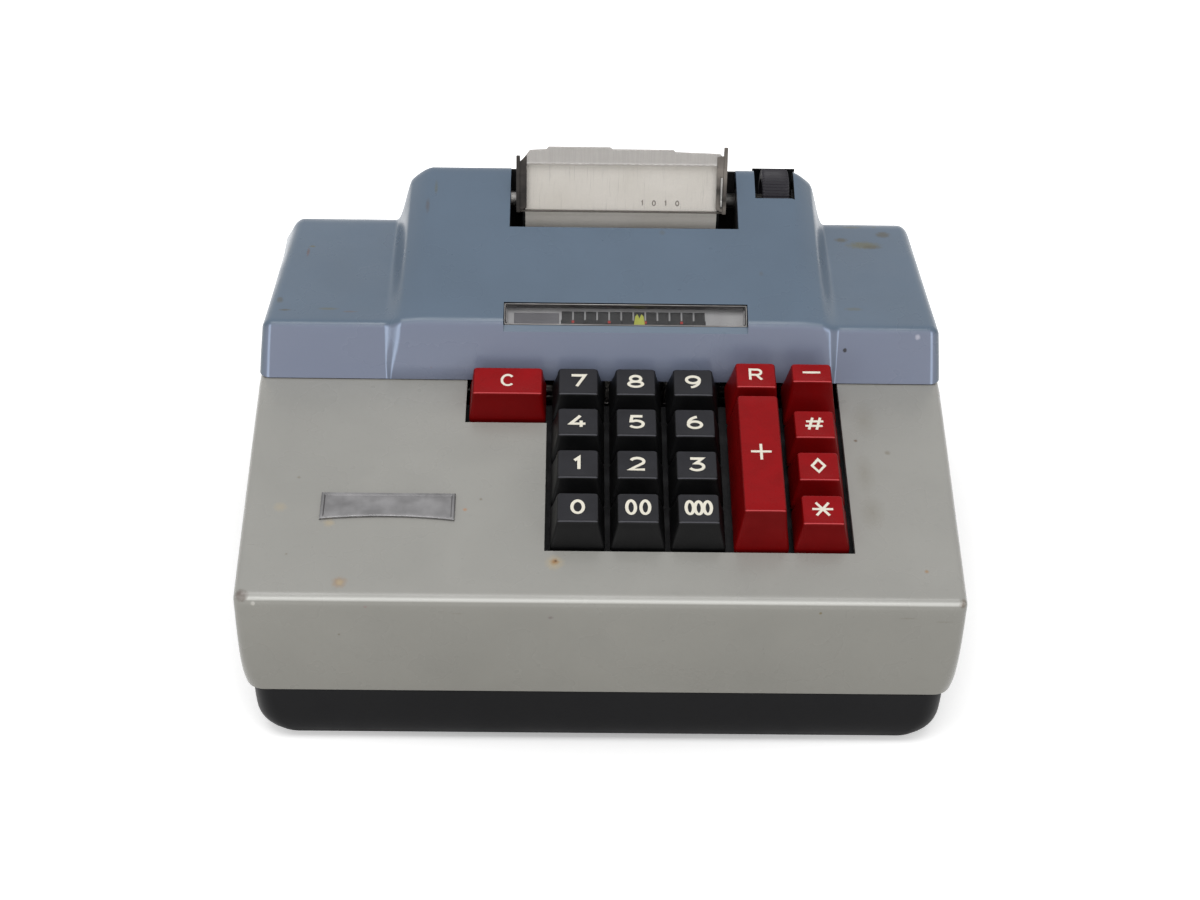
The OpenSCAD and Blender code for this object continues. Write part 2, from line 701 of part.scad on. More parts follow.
module key_stem(x, u) {
    translate([x - stem_w / 2, u - stem_t / 2, -shoulder_depth]) cube([stem_w, stem_t, shoulder_depth - 1]);
    translate([x, u, -tip_depth]) cylinder(h = tip_depth - shoulder_depth + 1, r = stem_pin_r);
}

// A key cap: base and top rectangles with rounded corners. The top may be shifted along the deck.
key_corner = 1.1;
module cap_layer(w, d, z) {
    for (x = [-1, 1], y = [-1, 1]) translate([x * (w / 2 - key_corner), y * (d / 2 - key_corner), z])
        cylinder(h = 0.3, r = key_corner, $fn = 8);
}
module key_cap(base_w, base_d, top_w, top_d, top_shift, h) {
    hull() {
        cap_layer(base_w, base_d, -skirt);
        cap_layer(base_w, base_d, 0);
        translate([0, top_shift, 0]) cap_layer(top_w, top_d, h - 1.1);
        translate([0, top_shift, 0]) cap_layer(top_w - 1, top_d - 1, h - 0.3);
    }
}

module plain_key(column, row, tint) {
    color(tint) on_deck() {
        translate([key_x(column), key_u(row), 0]) key_cap(key_base, key_base, key_top_w, key_top_d, 0, key_h);
        key_stem(key_x(column), key_u(row));
    }
}

module key_0() { plain_key(0, 0, key_black); }
module key_00() { plain_key(1, 0, key_black); }
module key_000() { plain_key(2, 0, key_black); }
module key_1() { plain_key(0, 1, key_black); }
module key_2() { plain_key(1, 1, key_black); }
module key_3() { plain_key(2, 1, key_black); }
module key_4() { plain_key(0, 2, key_black); }
module key_5() { plain_key(1, 2, key_black); }
module key_6() { plain_key(2, 2, key_black); }
module key_7() { plain_key(0, 3, key_black); }
module key_8() { plain_key(1, 3, key_black); }
module key_9() { plain_key(2, 3, key_black); }
module key_star() { plain_key(4, 0, key_red); }
module key_diamond() { plain_key(4, 1, key_red); }
module key_hash() { plain_key(4, 2, key_red); }

module key_clear() {
    color(key_red) on_deck() {
        translate([clear_key_x, key_u(3), 0])
            key_cap(clear_key_w, key_base, clear_key_w - key_base + key_top_w + 1, key_top_d, 0, key_h);
        key_stem(clear_key_x, key_u(3));
    }
}

module key_repeat() {
    color(key_red) on_deck() {
        translate([key_x(3), key_u(3), 0])
            key_cap(key_base, key_base, key_top_w, key_top_d - 1, -1, key_h + tall_extra);
        key_stem(key_x(3), key_u(3));
    }
}

module key_minus() {
    color(key_red) on_deck() {
        translate([key_x(4), key_u(3), 0])
            key_cap(key_base, key_base, key_top_w, key_top_d - 4, 0.4, key_h + tall_extra);
        key_stem(key_x(4), key_u(3));
    }
}

plus_len = 2 * key_pitch_y + key_base;
module key_plus() {
    color(key_red) on_deck() {
        translate([key_x(3), key_u(1), 0])
            key_cap(key_base, plus_len, key_top_w, plus_len - 3.8, 1.7, key_h + tall_extra);
        for (u = plus_stems) key_stem(key_x(3), u);
    }
}

// Platen with its shaft, thumbwheel and ratchet
roller_x0 = paper_x - paper_w / 2 - 1;
roller_x1 = paper_x + paper_w / 2 + 1;
module platen_shaft() {
    color(steel) from_front()
        bar_x(frame_x0 - frame_t - 1, frame_x1 + frame_t + 1, platen_y, platen_z, platen_shaft_r);
}

module platen_roller() {
    color(rubber) from_front() difference() {
        bar_x(roller_x0, roller_x1, platen_y, platen_z, platen_r);
        bar_x(roller_x0 - 1, roller_x1 + 1, platen_y, platen_z, platen_shaft_r);
    }
}

ratchet_r = 6.4;
ratchet_teeth = 12;
ratchet_x = roller_x0 - 14;
module platen_ratchet() {
    color(steel) from_front() difference() {
        translate([ratchet_x, platen_y, platen_z]) rotate([90, 0, 90]) linear_extrude(2)
            polygon([for (i = [0:ratchet_teeth - 1], k = [0, 1]) let (a = (i + k * 0.2) * 360 / ratchet_teeth,
                r = ratchet_r - 1.6 * (1 - k)) [r * cos(a), r * sin(a)]]);
        bar_x(ratchet_x - 1, ratchet_x + 3, platen_y, platen_z, platen_shaft_r);
    }
}

thumb_ridges = 36;
module thumbwheel() {
    color(rubber) from_front() difference() {
        translate([thumb_x - thumb_w / 2, platen_y, platen_z]) rotate([90, 0, 90]) linear_extrude(thumb_w)
            polygon([for (i = [0:thumb_ridges - 1], k = [0:3]) let (a = (i + k * 0.25) * 360 / thumb_ridges,
                r = thumb_r - (k > 1 ? 0.7 : 0)) [r * cos(a), r * sin(a)]]);
        bar_x(thumb_x - thumb_w, thumb_x + thumb_w, platen_y, platen_z, platen_shaft_r);
    }
}

// Paper path: off the roll's top, under the platen, up its front and along the tear shield
paper_t = 0.3;
path_r = platen_r + run_gap;
roll_path_r = roll_r + run_gap;
path_gap = [platen_y - roll_y, platen_z - roll_z];
path_turn = atan2(path_gap[1], path_gap[0]) + asin((path_r + roll_path_r) / norm(path_gap));
leave_angle = 167;
leave_len = 19;
module paper_strip() {
    function on_platen(a, r) = [platen_y + r * cos(a), platen_z + r * sin(a)];
    function on_roll(a, r) = [roll_y + r * cos(a), roll_z + r * sin(a)];
    function path(d) = let (r = path_r + d, up = [cos(leave_angle - 90), sin(leave_angle - 90)]) concat(
        [on_roll(path_turn - 90, roll_path_r + paper_t - d)],
        [for (a = [path_turn + 90:-5:leave_angle]) on_platen(a, r)],
        [on_platen(leave_angle, r), on_platen(leave_angle, r) + leave_len * up]);
    color(paper_white) from_front() plate_x(paper_x - paper_w / 2, paper_x + paper_w / 2)
        polygon(concat(path(0), reversed(path(paper_t))));
}

module paper_roll() {
    color(paper_white) from_front() difference() {
        bar_x(paper_x - paper_w / 2 + 0.5, paper_x + paper_w / 2 - 0.5, roll_y, roll_z, roll_r);
        bar_x(paper_x - paper_w, paper_x + paper_w, roll_y, roll_z, spindle_r + 2 * shaft_gap);
    }
}

cheek_t = 1.5;
cheek_x0 = paper_x - paper_w / 2 - 3;
cheek_x1 = paper_x + paper_w / 2 + 3;
module roll_spindle() {
    color(steel) from_front() bar_x(cheek_x0 - cheek_t, cheek_x1 + cheek_t, roll_y, roll_z, spindle_r);
}

trough_r = 26;
trough_t = 1.2;
module roll_holder() {
    color(dark_steel) from_front() difference() {
        union() {
            plate_x(cheek_x0, cheek_x1) translate([roll_y, roll_z]) difference() {
                circle(r = trough_r + trough_t);
                circle(r = trough_r);
                polygon([[0, 0], 60 * [cos(312), sin(312)], [60, 60], [-60, 60], 60 * [cos(205), sin(205)]]);
            }
            for (x = [cheek_x0 - cheek_t, cheek_x1]) {
                plate_x(x, x + cheek_t) translate([roll_y, roll_z]) difference() {
                    circle(r = trough_r + trough_t);
                    polygon([[14, 5], 60 * [cos(312), sin(312)], [60, 60], [-60, 60],
                             60 * [cos(205), sin(205)], [-14, 5]]);
                }
                bar_x(x, x + cheek_t, roll_y, roll_z, spindle_r + 4);
                bar_x(x, x + cheek_t, roll_bar[0], roll_bar[1], bar_r + 3);
            }
        }
        bar_x(cheek_x0 - 5, cheek_x1 + 5, roll_y, roll_z, spindle_r);
        bar_x(cheek_x0 - 5, cheek_x1 + 5, roll_bar[0], roll_bar[1], bar_r);
    }
}

// Pressure roller below the platen, carried by the ears of the paper guide
press_r = 4;
press_shaft_r = 1.5;
press_angle = 260;
press_gap = path_r + paper_t + run_gap + press_r;
press_y = platen_y + press_gap * cos(press_angle);
press_z = platen_z + press_gap * sin(press_angle);
ear_t = 1.5;
ear_x0 = notch_left - 4;
ear_x1 = notch_right + 2;
module pressure_rollers() {
    color(rubber) from_front() {
        bar_x(ear_x0 - 1, ear_x1 + ear_t + 1, press_y, press_z, press_shaft_r);
        for (x = [-22, 0, 22]) bar_x(paper_x + x - 7, paper_x + x + 7, press_y, press_z, press_r);
    }
}

guide_r = path_r + paper_t + 0.9;
module paper_guide() {
    color(steel) from_front() difference() {
        union() {
            plate_x(ear_x0, ear_x1 + ear_t) translate([platen_y, platen_z]) difference() {
                circle(r = guide_r + 0.8);
                circle(r = guide_r);
                polygon([[0, 0], 40 * [cos(242), sin(242)], [40, -60], [60, 60], [-60, 60], [-60, 0],
                         40 * [cos(218), sin(218)]]);
            }
            for (x = [ear_x0, ear_x1]) plate_x(x, x + ear_t) polygon([
                [platen_y + (guide_r + 0.4) * cos(218), platen_z + (guide_r + 0.4) * sin(218)],
                [press_y - 7, press_z - 5], [bar_places[2][0] - 5, bar_places[2][1] - 5],
                [bar_places[2][0] + 6, bar_places[2][1] - 3], [bar_places[2][0] + 4, bar_places[2][1] + 6],
                [press_y + 5, press_z + 5]]);
        }
        bar_x(ear_x0 - 5, ear_x1 + 5, press_y, press_z, press_shaft_r + shaft_gap);
        bar_x(ear_x0 - 5, ear_x1 + 5, bar_places[2][0], bar_places[2][1], bar_r);
    }
}

// Tear shield: a clear plate between two arms that turn on the platen shaft
shield_r = path_r + paper_t + 0.5;
arm_t = 1.4;
arm_x0 = roller_x0 - 0.9 - arm_t;
arm_x1 = roller_x1 + 0.9;
shield_up = [cos(leave_angle - 90), sin(leave_angle - 90)];
shield_foot = [platen_y + shield_r * cos(leave_angle), platen_z + shield_r * sin(leave_angle)];
shield_out = [cos(leave_angle), sin(leave_angle)];
shield_top = shield_foot + shield_len * shield_up;
module tear_shield() {
    color(clear) from_front() plate_x(arm_x0 + arm_t, arm_x1)
        polygon([shield_foot, shield_top, shield_top + shield_t * shield_out,
                 shield_foot + shield_t * shield_out]);
}

module shield_arms() {
    color(steel) from_front() for (x = [arm_x0, arm_x1]) difference() {
        hull() {
            bar_x(x, x + arm_t, platen_y, platen_z, platen_shaft_r + 2.2, $fn = 32);
            plate_x(x, x + arm_t) polygon([shield_foot, shield_top - 3 * shield_up, shield_top + [2.5, -2],
                shield_top + shield_t * shield_out, shield_foot + shield_t * shield_out]);
        }
        bar_x(x - 1, x + arm_t + 1, platen_y, platen_z, platen_shaft_r + shaft_gap);
    }
}

// The ribbon passes between the type bars and the paper
ribbon_t = 0.3;
ribbon_y = platen_y - path_r - paper_t - ribbon_t / 2;
ribbon_h = 11.6;
ribbon_z = platen_z - 6.7 - ribbon_h;

// Type bars in two comb plates, in front of the ribbon
type_w = 2;
type_d = 4.6;
type_y = ribbon_y - ribbon_t / 2 - 0.7 - type_d;
type_low = 34;
type_top = 90;
guide_y = type_y + type_d / 2;
guide_t = 1.6;
guide_low_z = 46;
guide_high_z = 78;
guide_d = 9;
guide_tab = 6;
function type_x(i) = paper_x + (i - (places - 1) / 2) * place_pitch;
module type_bars() {
    color(steel) from_front() {
        for (i = [0:places - 1]) translate([type_x(i) - type_w / 2, type_y, type_low])
            cube([type_w, type_d, type_top - type_low]);
        translate([type_x(0) - type_w / 2, type_y + 0.5, type_low - 3])
            cube([type_x(places - 1) - type_x(0) + type_w, type_d - 1, 3]);
    }
}

module type_bar_guide() {
    color(dark_steel) from_front() for (z = [guide_low_z, guide_high_z]) difference() {
        union() {
            translate([frame_x0, guide_y - guide_d / 2, z]) cube([frame_x1 - frame_x0, guide_d, guide_t]);
            translate([frame_x0 - frame_t, guide_y - guide_tab / 2, z])
                cube([frame_x1 - frame_x0 + 2 * frame_t, guide_tab, guide_t]);
        }
        for (i = [0:places - 1]) translate([type_x(i) - type_w / 2 - run_gap, type_y - run_gap, z - 1])
            cube([type_w + 2 * run_gap, type_d + 2 * run_gap, guide_t + 2]);
    }
}

// The register wheels stand midway between the carriage and the type bars
register_y = (carriage_y + carriage_d + type_y) / 2;
register_z = 62;
register_shaft_r = 2.5;
module register_wheels() {
    color(brass) from_front() {
        bar_x(frame_x0 - frame_t, frame_x1 + frame_t, register_y, register_z, register_shaft_r);
        for (i = [0:places - 1]) bar_x(type_x(i) - 1, type_x(i) + 1, register_y, register_z, register_r);
    }
}

// Outline of a gear: straight-sided teeth around its pitch circle
function gear_outline(teeth, turn) = [for (i = [0:teeth - 1], k = [0:3]) let (
    a = turn + (i + [-0.27, -0.11, 0.11, 0.27][k]) * 360 / teeth,
    r = gear_module * (teeth / 2 + ((k == 1 || k == 2) ? 0.85 : -1.15))) [r * cos(a), r * sin(a)]];
gear_x = frame_x0 + 3;
gear_w = 5;
cam_r = 9;
main_turn = -19;
module main_shaft() {
    color(steel) from_front() {
        bar_x(frame_x0 - frame_t - 1, frame_x1 + frame_t + 1, main_y, main_z, main_shaft_r);
        translate([gear_x, main_y, main_z]) rotate([90, 0, 90]) linear_extrude(gear_w)
            polygon(gear_outline(main_teeth, main_turn));
        for (x = [-40, -10, 20, 50]) translate([x, main_y, main_z]) rotate([0, 90, 0]) {
            cylinder(h = 3, r = cam_r - 2);
            translate([0, 4, 0]) cylinder(h = 3, r = cam_r - 3);
        }
    }
}

motor_shaft_r = 2.5;
motor_x1 = frame_x0 - frame_t - 3;
motor_len = motor_x1 + pan_half - pan_taper - wall - motor_gap;
module motor() {
    color(dark_steel) from_front() difference() {
        union() {
            bar_x(motor_x1 - motor_len, motor_x1, motor_y, motor_z, motor_r);
            bar_x(motor_x1 - motor_len - 3, motor_x1 + 2, motor_y, motor_z, motor_r * 0.45);
            translate([motor_x1 - motor_len + 3, motor_y - motor_r * 0.7, floor_z])
                cube([motor_len - 6, motor_r * 1.4, motor_r * 0.6]);
        }
        bar_x(motor_x1 - motor_len / 2, motor_x1 + 5, motor_y, motor_z, motor_shaft_r + shaft_gap);
    }
}

module motor_pinion() {
    color(brass) from_front() {
        bar_x(motor_x1 - motor_len / 2 + 1, gear_x + gear_w + 1, motor_y, motor_z, motor_shaft_r);
        translate([gear_x, motor_y, motor_z]) rotate([90, 0, 90]) linear_extrude(gear_w)
            polygon(gear_outline(pinion_teeth, 180 - 19 + 180 / pinion_teeth));
    }
}

// Ribbon between two spools that stand on pins on the upper comb plate's brackets
pack_r = 8.6;
spool_y = ribbon_y - ribbon_t / 2 - run_gap - pack_r;
spool_x = 52.5;
module ribbon_spool(x) {
    translate([x, spool_y, ribbon_z - run_gap]) {
        translate([0, 0, -0.8]) cylinder(h = 0.8, r = spool_r);
        cylinder(h = ribbon_h + 2 * run_gap, r = pack_r);
        translate([0, 0, ribbon_h + 2 * run_gap]) cylinder(h = 0.8, r = spool_r);
        translate([0, 0, guide_high_z + guide_t + run_gap + run_gap - ribbon_z])
            cylinder(h = ribbon_z - guide_high_z - guide_t - 2 * run_gap, r = 3);
    }
}

module ribbon_spool_left() {
    color(dark_steel) from_front() ribbon_spool(tower_x - spool_x);
}

module ribbon_spool_right() {
    color(dark_steel) from_front() ribbon_spool(tower_x + spool_x);
}

module ribbon() {
    color([0.15, 0.1, 0.2]) from_front() translate([tower_x - spool_x, ribbon_y - ribbon_t / 2, ribbon_z])
        cube([2 * spool_x, ribbon_t, ribbon_h]);
}

base_pan();
rubber_feet();
lower_housing();
rear_cover();
case_screws();
badge_plate();
power_inlet();
inlet_pins();
window_bezel();
window_lens();
indicator_scale();
indicator_pointer();
key_guide_upper();
key_guide_lower();
key_springs();
key_0();
key_00();
key_000();
key_1();
key_2();
key_3();
key_4();
key_5();
key_6();
key_7();
key_8();
key_9();
key_clear();
key_repeat();
key_minus();
key_plus();
key_hash();
key_diamond();
key_star();
frame_left();
frame_right();
cross_bars();
pin_carriage();
carriage_rails();
platen_shaft();
platen_roller();
platen_ratchet();
thumbwheel();
pressure_rollers();
paper_guide();
paper_strip();
paper_roll();
roll_spindle();
roll_holder();
tear_shield();
shield_arms();
type_bars();
type_bar_guide();
register_wheels();
main_shaft();
motor();
motor_pinion();
ribbon_spool_left();
ribbon_spool_right();
ribbon();
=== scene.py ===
# %% [markdown]
# An adding machine is a stack of shells around a machine: a dark foot pan, a grey lower case that carries the
# keyboard, and a blue cover whose raised middle hides the printer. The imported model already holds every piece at
# its real size, with its joints. This lesson keeps those pieces where they are and gives them the looks: rounded
# pressings in place of plain solids, worn paint, moulded keys with their figures, paper and a hazy tear shield.

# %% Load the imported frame
import json
import math
import random

import bmesh
import bpy
from mathutils import Matrix, Vector


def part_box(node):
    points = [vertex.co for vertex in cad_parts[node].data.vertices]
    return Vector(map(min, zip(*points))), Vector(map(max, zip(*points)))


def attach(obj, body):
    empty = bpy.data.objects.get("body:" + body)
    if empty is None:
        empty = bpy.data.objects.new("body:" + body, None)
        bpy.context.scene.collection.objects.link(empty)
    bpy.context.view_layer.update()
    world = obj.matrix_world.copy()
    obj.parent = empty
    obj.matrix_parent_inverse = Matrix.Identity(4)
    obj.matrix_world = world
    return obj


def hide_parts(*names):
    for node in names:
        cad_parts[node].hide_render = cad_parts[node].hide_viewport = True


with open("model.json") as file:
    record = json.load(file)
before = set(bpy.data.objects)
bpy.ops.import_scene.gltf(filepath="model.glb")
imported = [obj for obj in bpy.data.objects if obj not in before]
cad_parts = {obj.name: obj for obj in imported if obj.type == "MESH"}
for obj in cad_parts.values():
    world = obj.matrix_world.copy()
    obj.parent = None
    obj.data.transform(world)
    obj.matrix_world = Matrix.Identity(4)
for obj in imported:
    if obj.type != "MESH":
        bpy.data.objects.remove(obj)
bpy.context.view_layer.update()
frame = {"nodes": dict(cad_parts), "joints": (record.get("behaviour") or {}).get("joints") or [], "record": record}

# %% [markdown]
# The camera comes first, because every later choice is judged through it. The photograph was taken with a long
# lens from in front and above. Its focal length and place were worked out from the straight edges of the case,
# which keep their real lengths, so the same camera over the same model gives the same picture. The camera stood a
# little to the left, so it is turned by a degree, and it leaned by about as much about its own axis.

# %% Camera at the photograph's place
PHOTO_WIDTH, PHOTO_HEIGHT = 1200, 900
FOCAL_PIXELS = 2279
CAMERA_PLACE = Vector((-0.01192, -0.67792, 0.5409))
CAMERA_YAW = -1.06
CAMERA_PITCH = 53.63
CAMERA_ROLL = 1.21
SENSOR = 36

lens = bpy.data.cameras.new("camera")
lens.sensor_width = SENSOR
lens.lens = SENSOR * FOCAL_PIXELS / PHOTO_WIDTH
camera = bpy.data.objects.new("camera", lens)
aim = Matrix.Rotation(math.radians(CAMERA_PITCH), 3, "X") @ Matrix.Rotation(math.radians(CAMERA_ROLL), 3, "Z")
aim = Matrix.Rotation(math.radians(CAMERA_YAW), 3, "Z") @ aim
camera.location = CAMERA_PLACE
camera.rotation_euler = aim.to_euler()
bpy.context.scene.collection.objects.link(camera)
bpy.context.scene.camera = camera


def pixel(point):
    """Where a point of the row frame, in metres, falls in the 1200 by 900 picture."""
    x, y, z = aim.inverted() @ (Vector(point) - CAMERA_PLACE)
    return (round(PHOTO_WIDTH / 2 - FOCAL_PIXELS * x / z, 1), round(PHOTO_HEIGHT / 2 + FOCAL_PIXELS * y / z, 1))


print("lens", round(lens.lens, 2), "mm; the origin is at pixel", pixel((0, 0, 0)))

# %% [markdown]
# A maker measures before cutting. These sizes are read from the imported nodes, in millimetres, so the dressed
# pieces follow the model. Depths are counted from the front edge of the case, as on a drawing, and `row` turns
# such a place into the model's own frame. `on_deck` does the same for a place on the sloping keyboard deck: how
# far across, how far up the slope, and how high above it.

# %% Sizes read from the frame
MM = 0.001


def box_mm(node):
    """The two corners of a CAD node, in millimetres."""
    low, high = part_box(node)
    return low / MM, high / MM


HALF_WIDTH, HALF_DEPTH, _ = box_mm("lower_housing")[1]
CASE_DEPTH = 2 * HALF_DEPTH
PAN_FOOT, PAN_TOP = (corner.z for corner in box_mm("base_pan"))
COVER_FOOT = box_mm("rear_cover")[0].z
press_axis = next(j for j in frame["joints"] if j["name"] == "key_5_press")["axis"]
DECK_TILT = math.atan2(press_axis[1], -press_axis[2])
DECK_FRONT = 65.0
DECK_END = (COVER_FOOT - DECK_FRONT) / math.tan(DECK_TILT)
SHOULDER_RISE, SHOULDER_BACK = 20, 179
SHOULDER = COVER_FOOT + SHOULDER_RISE
WALL = 2.5


def row(x, depth, z):
    return Vector((x, depth - HALF_DEPTH, z))


def on_deck(x, u, above=0.0):
    c, s = math.cos(DECK_TILT), math.sin(DECK_TILT)
    return row(x, u * c - above * s, DECK_FRONT + u * s + above * c)


print("case", round(2 * HALF_WIDTH), "x", round(CASE_DEPTH), "mm, deck tilt", round(math.degrees(DECK_TILT), 1))

# %% [markdown]
# A few small helpers do all the mesh work. `new_piece` makes an object from points and faces, `loft` joins rings
# of points with quads, and `carve` cuts one shape out of another with an exact boolean, as a milling cutter would.
# `line_inside` gives the inside of a shell a second material, painted shade. `dress` then rounds a piece's
# edges, gives it its finish, and hangs it on the body it moves with.

# %% Helpers for meshes
WELD_GAP, SLIVER = 0.002 * MM, 0.001 * MM
BEVEL_STEPS = 2


def new_piece(name, points, faces, welded=True):
    """An object from points in mm. Welding takes out doubled points and slivers, which spoil a boolean."""
    mesh = bpy.data.meshes.new(name)
    mesh.from_pydata([Vector(p) * MM for p in points], [], faces)
    grid = bmesh.new()
    grid.from_mesh(mesh)
    if welded:
        bmesh.ops.remove_doubles(grid, verts=grid.verts, dist=WELD_GAP)
        bmesh.ops.dissolve_degenerate(grid, edges=grid.edges, dist=SLIVER)
    bmesh.ops.recalc_face_normals(grid, faces=grid.faces)
    grid.to_mesh(mesh)
    grid.free()
    piece = bpy.data.objects.new(name, mesh)
    bpy.context.scene.collection.objects.link(piece)
    return piece


def loft(rings, capped=True):
    """Points and faces of a skin over closed rings that all have as many points."""
    size = len(rings[0])
    points = [p for ring in rings for p in ring]
    faces = []
    for k in range(len(rings) - 1):
        for i in range(size):
            j = (i + 1) % size
            faces.append((k * size + i, k * size + j, (k + 1) * size + j, (k + 1) * size + i))
    if capped:
        faces.append(tuple(range(size)))
        faces.append(tuple(range(len(points) - size, len(points))))
    return points, faces


def bake(piece):
    """Applies the piece's modifiers to its mesh."""
    bpy.context.view_layer.update()
    graph = bpy.context.evaluated_depsgraph_get()
    mesh = bpy.data.meshes.new_from_object(piece.evaluated_get(graph))
    piece.modifiers.clear()
    piece.data = mesh


def carve(piece, *tools, how="DIFFERENCE"):
    """Cuts each tool out of the piece, or joins it on, and takes the tool away."""
    for tool in tools:
        cut = piece.modifiers.new("cut", "BOOLEAN")
        cut.operation = how
        cut.solver = "EXACT"
        cut.object = tool
        bake(piece)
        bpy.data.objects.remove(tool)


def block(low, high, place=row):
    """A box between two corners, given as (across, depth, height) to a placing function."""
    corners = [place(x, y, z) for z in (low[2], high[2]) for x, y in
               ((low[0], low[1]), (high[0], low[1]), (high[0], high[1]), (low[0], high[1]))]
    return loft([corners[:4], corners[4:]])


def merged(*parts):
    """Several (points, faces) shapes as one."""
    points, faces = [], []
    for some_points, some_faces in parts:
        faces += [tuple(i + len(points) for i in face) for face in some_faces]
        points += some_points
    return points, faces


def tool_of(*parts):
    return new_piece("cutter", *merged(*parts))


def line_inside(piece, finish, lining, is_inner):
    """Gives a shell its finish and, inside, painted shade: is_inner(centre in mm, normal) picks the inner faces.
    """
    mesh = piece.data
    mesh.materials.append(finish)
    mesh.materials.append(lining)
    for polygon in mesh.polygons:
        polygon.material_index = int(is_inner(polygon.center / MM, polygon.normal))


def dress(piece, body, finish, stands_for=(), sharp=35, bevel=0.0):
    """Shades and bevels a piece, finishes it, hangs it on the body it rides on, and hides the CAD nodes it stands
    for.
    """
    mesh = piece.data
    for polygon in mesh.polygons:
        polygon.use_smooth = True
    mesh.set_sharp_from_angle(angle=math.radians(sharp))
    if not mesh.materials:
        mesh.materials.append(finish)
    if bevel:
        soft = piece.modifiers.new("edges", "BEVEL")
        soft.width = bevel * MM
        soft.segments = BEVEL_STEPS
        soft.limit_method = "ANGLE"
        soft.angle_limit = math.radians(sharp)
        soft.harden_normals = True
    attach(piece, body)
    if stands_for:
        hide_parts(*stands_for)
    print(piece.name, "on", body, "with", len(mesh.vertices), "points")
    return piece


# %% [markdown]
# Materials are built from nodes. `node` adds one and fills its sockets with numbers or links, `mix` blends two
# colours, and `tint` turns the 0 to 255 values one reads off a picture into the linear values a renderer wants.

# %% Helpers for materials
def tint(red, green, blue):
    def linear(v):
        v /= 255
        return v / 12.92 if v <= 0.04045 else ((v + 0.055) / 1.055) ** 2.4
    return (linear(red), linear(green), linear(blue), 1.0)


def node(tree, kind, sockets=None, **settings):
    made = tree.nodes.new(kind)
    for key, value in settings.items():
        setattr(made, key, value)
    for key, value in (sockets or {}).items():
        if isinstance(value, bpy.types.NodeSocket):
            tree.links.new(value, made.inputs[key])
        else:
            made.inputs[key].default_value = value
    return made


def mix(tree, factor, first, second, how="MIX"):
    made = node(tree, "ShaderNodeMix", {0: factor, 6: first, 7: second}, data_type="RGBA", blend_type=how)
    return made.outputs[2]


def math_node(tree, what, *values):
    return node(tree, "ShaderNodeMath", dict(enumerate(values)), operation=what).outputs[0]


def ranged(tree, value, low, high, to_low=0.0, to_high=1.0):
    return node(tree, "ShaderNodeMapRange", {"Value": value, "From Min": low, "From Max": high, "To Min": to_low,
                                             "To Max": to_high}).outputs[0]


def noise(tree, place, scale, detail=2.0, distort=0.0, squeeze=None):
    """Noise whose grains are about 1 / scale metres. squeeze stretches it along an axis."""
    if squeeze:
        place = vector_math(tree, "MULTIPLY", place, squeeze)
    return node(tree, "ShaderNodeTexNoise", {"Vector": place, "Scale": scale, "Detail": detail,
                                             "Distortion": distort}).outputs[0]


def vector_math(tree, what, *values, output=0):
    return node(tree, "ShaderNodeVectorMath", dict(enumerate(values)), operation=what).outputs[output]


def normal_parts(tree):
    """The surface's normal as three sockets: across, to the back and up."""
    return node(tree, "ShaderNodeSeparateXYZ", {0: node(tree, "ShaderNodeNewGeometry").outputs["Normal"]}).outputs


def scaled(colour, share):
    return [c * share for c in colour[:3]] + [1.0]


def band(tree, value, rise, top, fall, end):
    """1 between top and fall, and 0 outside rise and end."""
    return math_node(tree, "MULTIPLY", ranged(tree, value, rise, top), ranged(tree, value, end, fall))


def finish(name, **sockets):
    """A new material. Returns it with its tree, its shader and the place on the model."""
    material = bpy.data.materials.new(name)
    material.use_nodes = True
    tree = material.node_tree
    shader = tree.nodes["Principled BSDF"]
    for key, value in sockets.items():
        shader.inputs[key.replace("_", " ")].default_value = value
    place = node(tree, "ShaderNodeTexCoord").outputs["Object"]
    return material, tree, shader, place


def bump(tree, shader, height, depth_mm):
    made = node(tree, "ShaderNodeBump", {"Height": height, "Distance": depth_mm * MM, "Strength": 1.0})
    tree.links.new(made.outputs[0], shader.inputs["Normal"])


# %% [markdown]
# Paint on an old office machine is never one colour. The spray leaves a fine orange peel, hands leave a faint
# mottle, and damp gets under it at a few points, where rust comes through as brown spots with soft rims. `spotted`
# paints such marks at real places on the case: each is a small ellipsoid whose rim is broken up by noise.
# `painted` can also paint a highlight along the rounded front edges.

# %% Marks and stains
RAGGED_RIM, MARK_EDGE = 0.7, 1.35


def spotted(tree, place, colour, marks):
    """Paints (centre, size, colour, strength, softness) marks over a colour. Sizes are half widths in mm."""
    ragged = noise(tree, place, 900, 3)
    for centre, size, stain, strength, softness in marks:
        away = vector_math(tree, "SUBTRACT", place, Vector(centre) * MM)
        away = vector_math(tree, "MULTIPLY", away, [1 / (s * MM) for s in size])
        far = vector_math(tree, "LENGTH", away, output="Value")
        far = math_node(tree, "MULTIPLY_ADD", ragged, RAGGED_RIM, far)
        inside = ranged(tree, far, MARK_EDGE, MARK_EDGE - softness, 0.0, strength)
        colour = mix(tree, inside, colour, stain)
    return colour


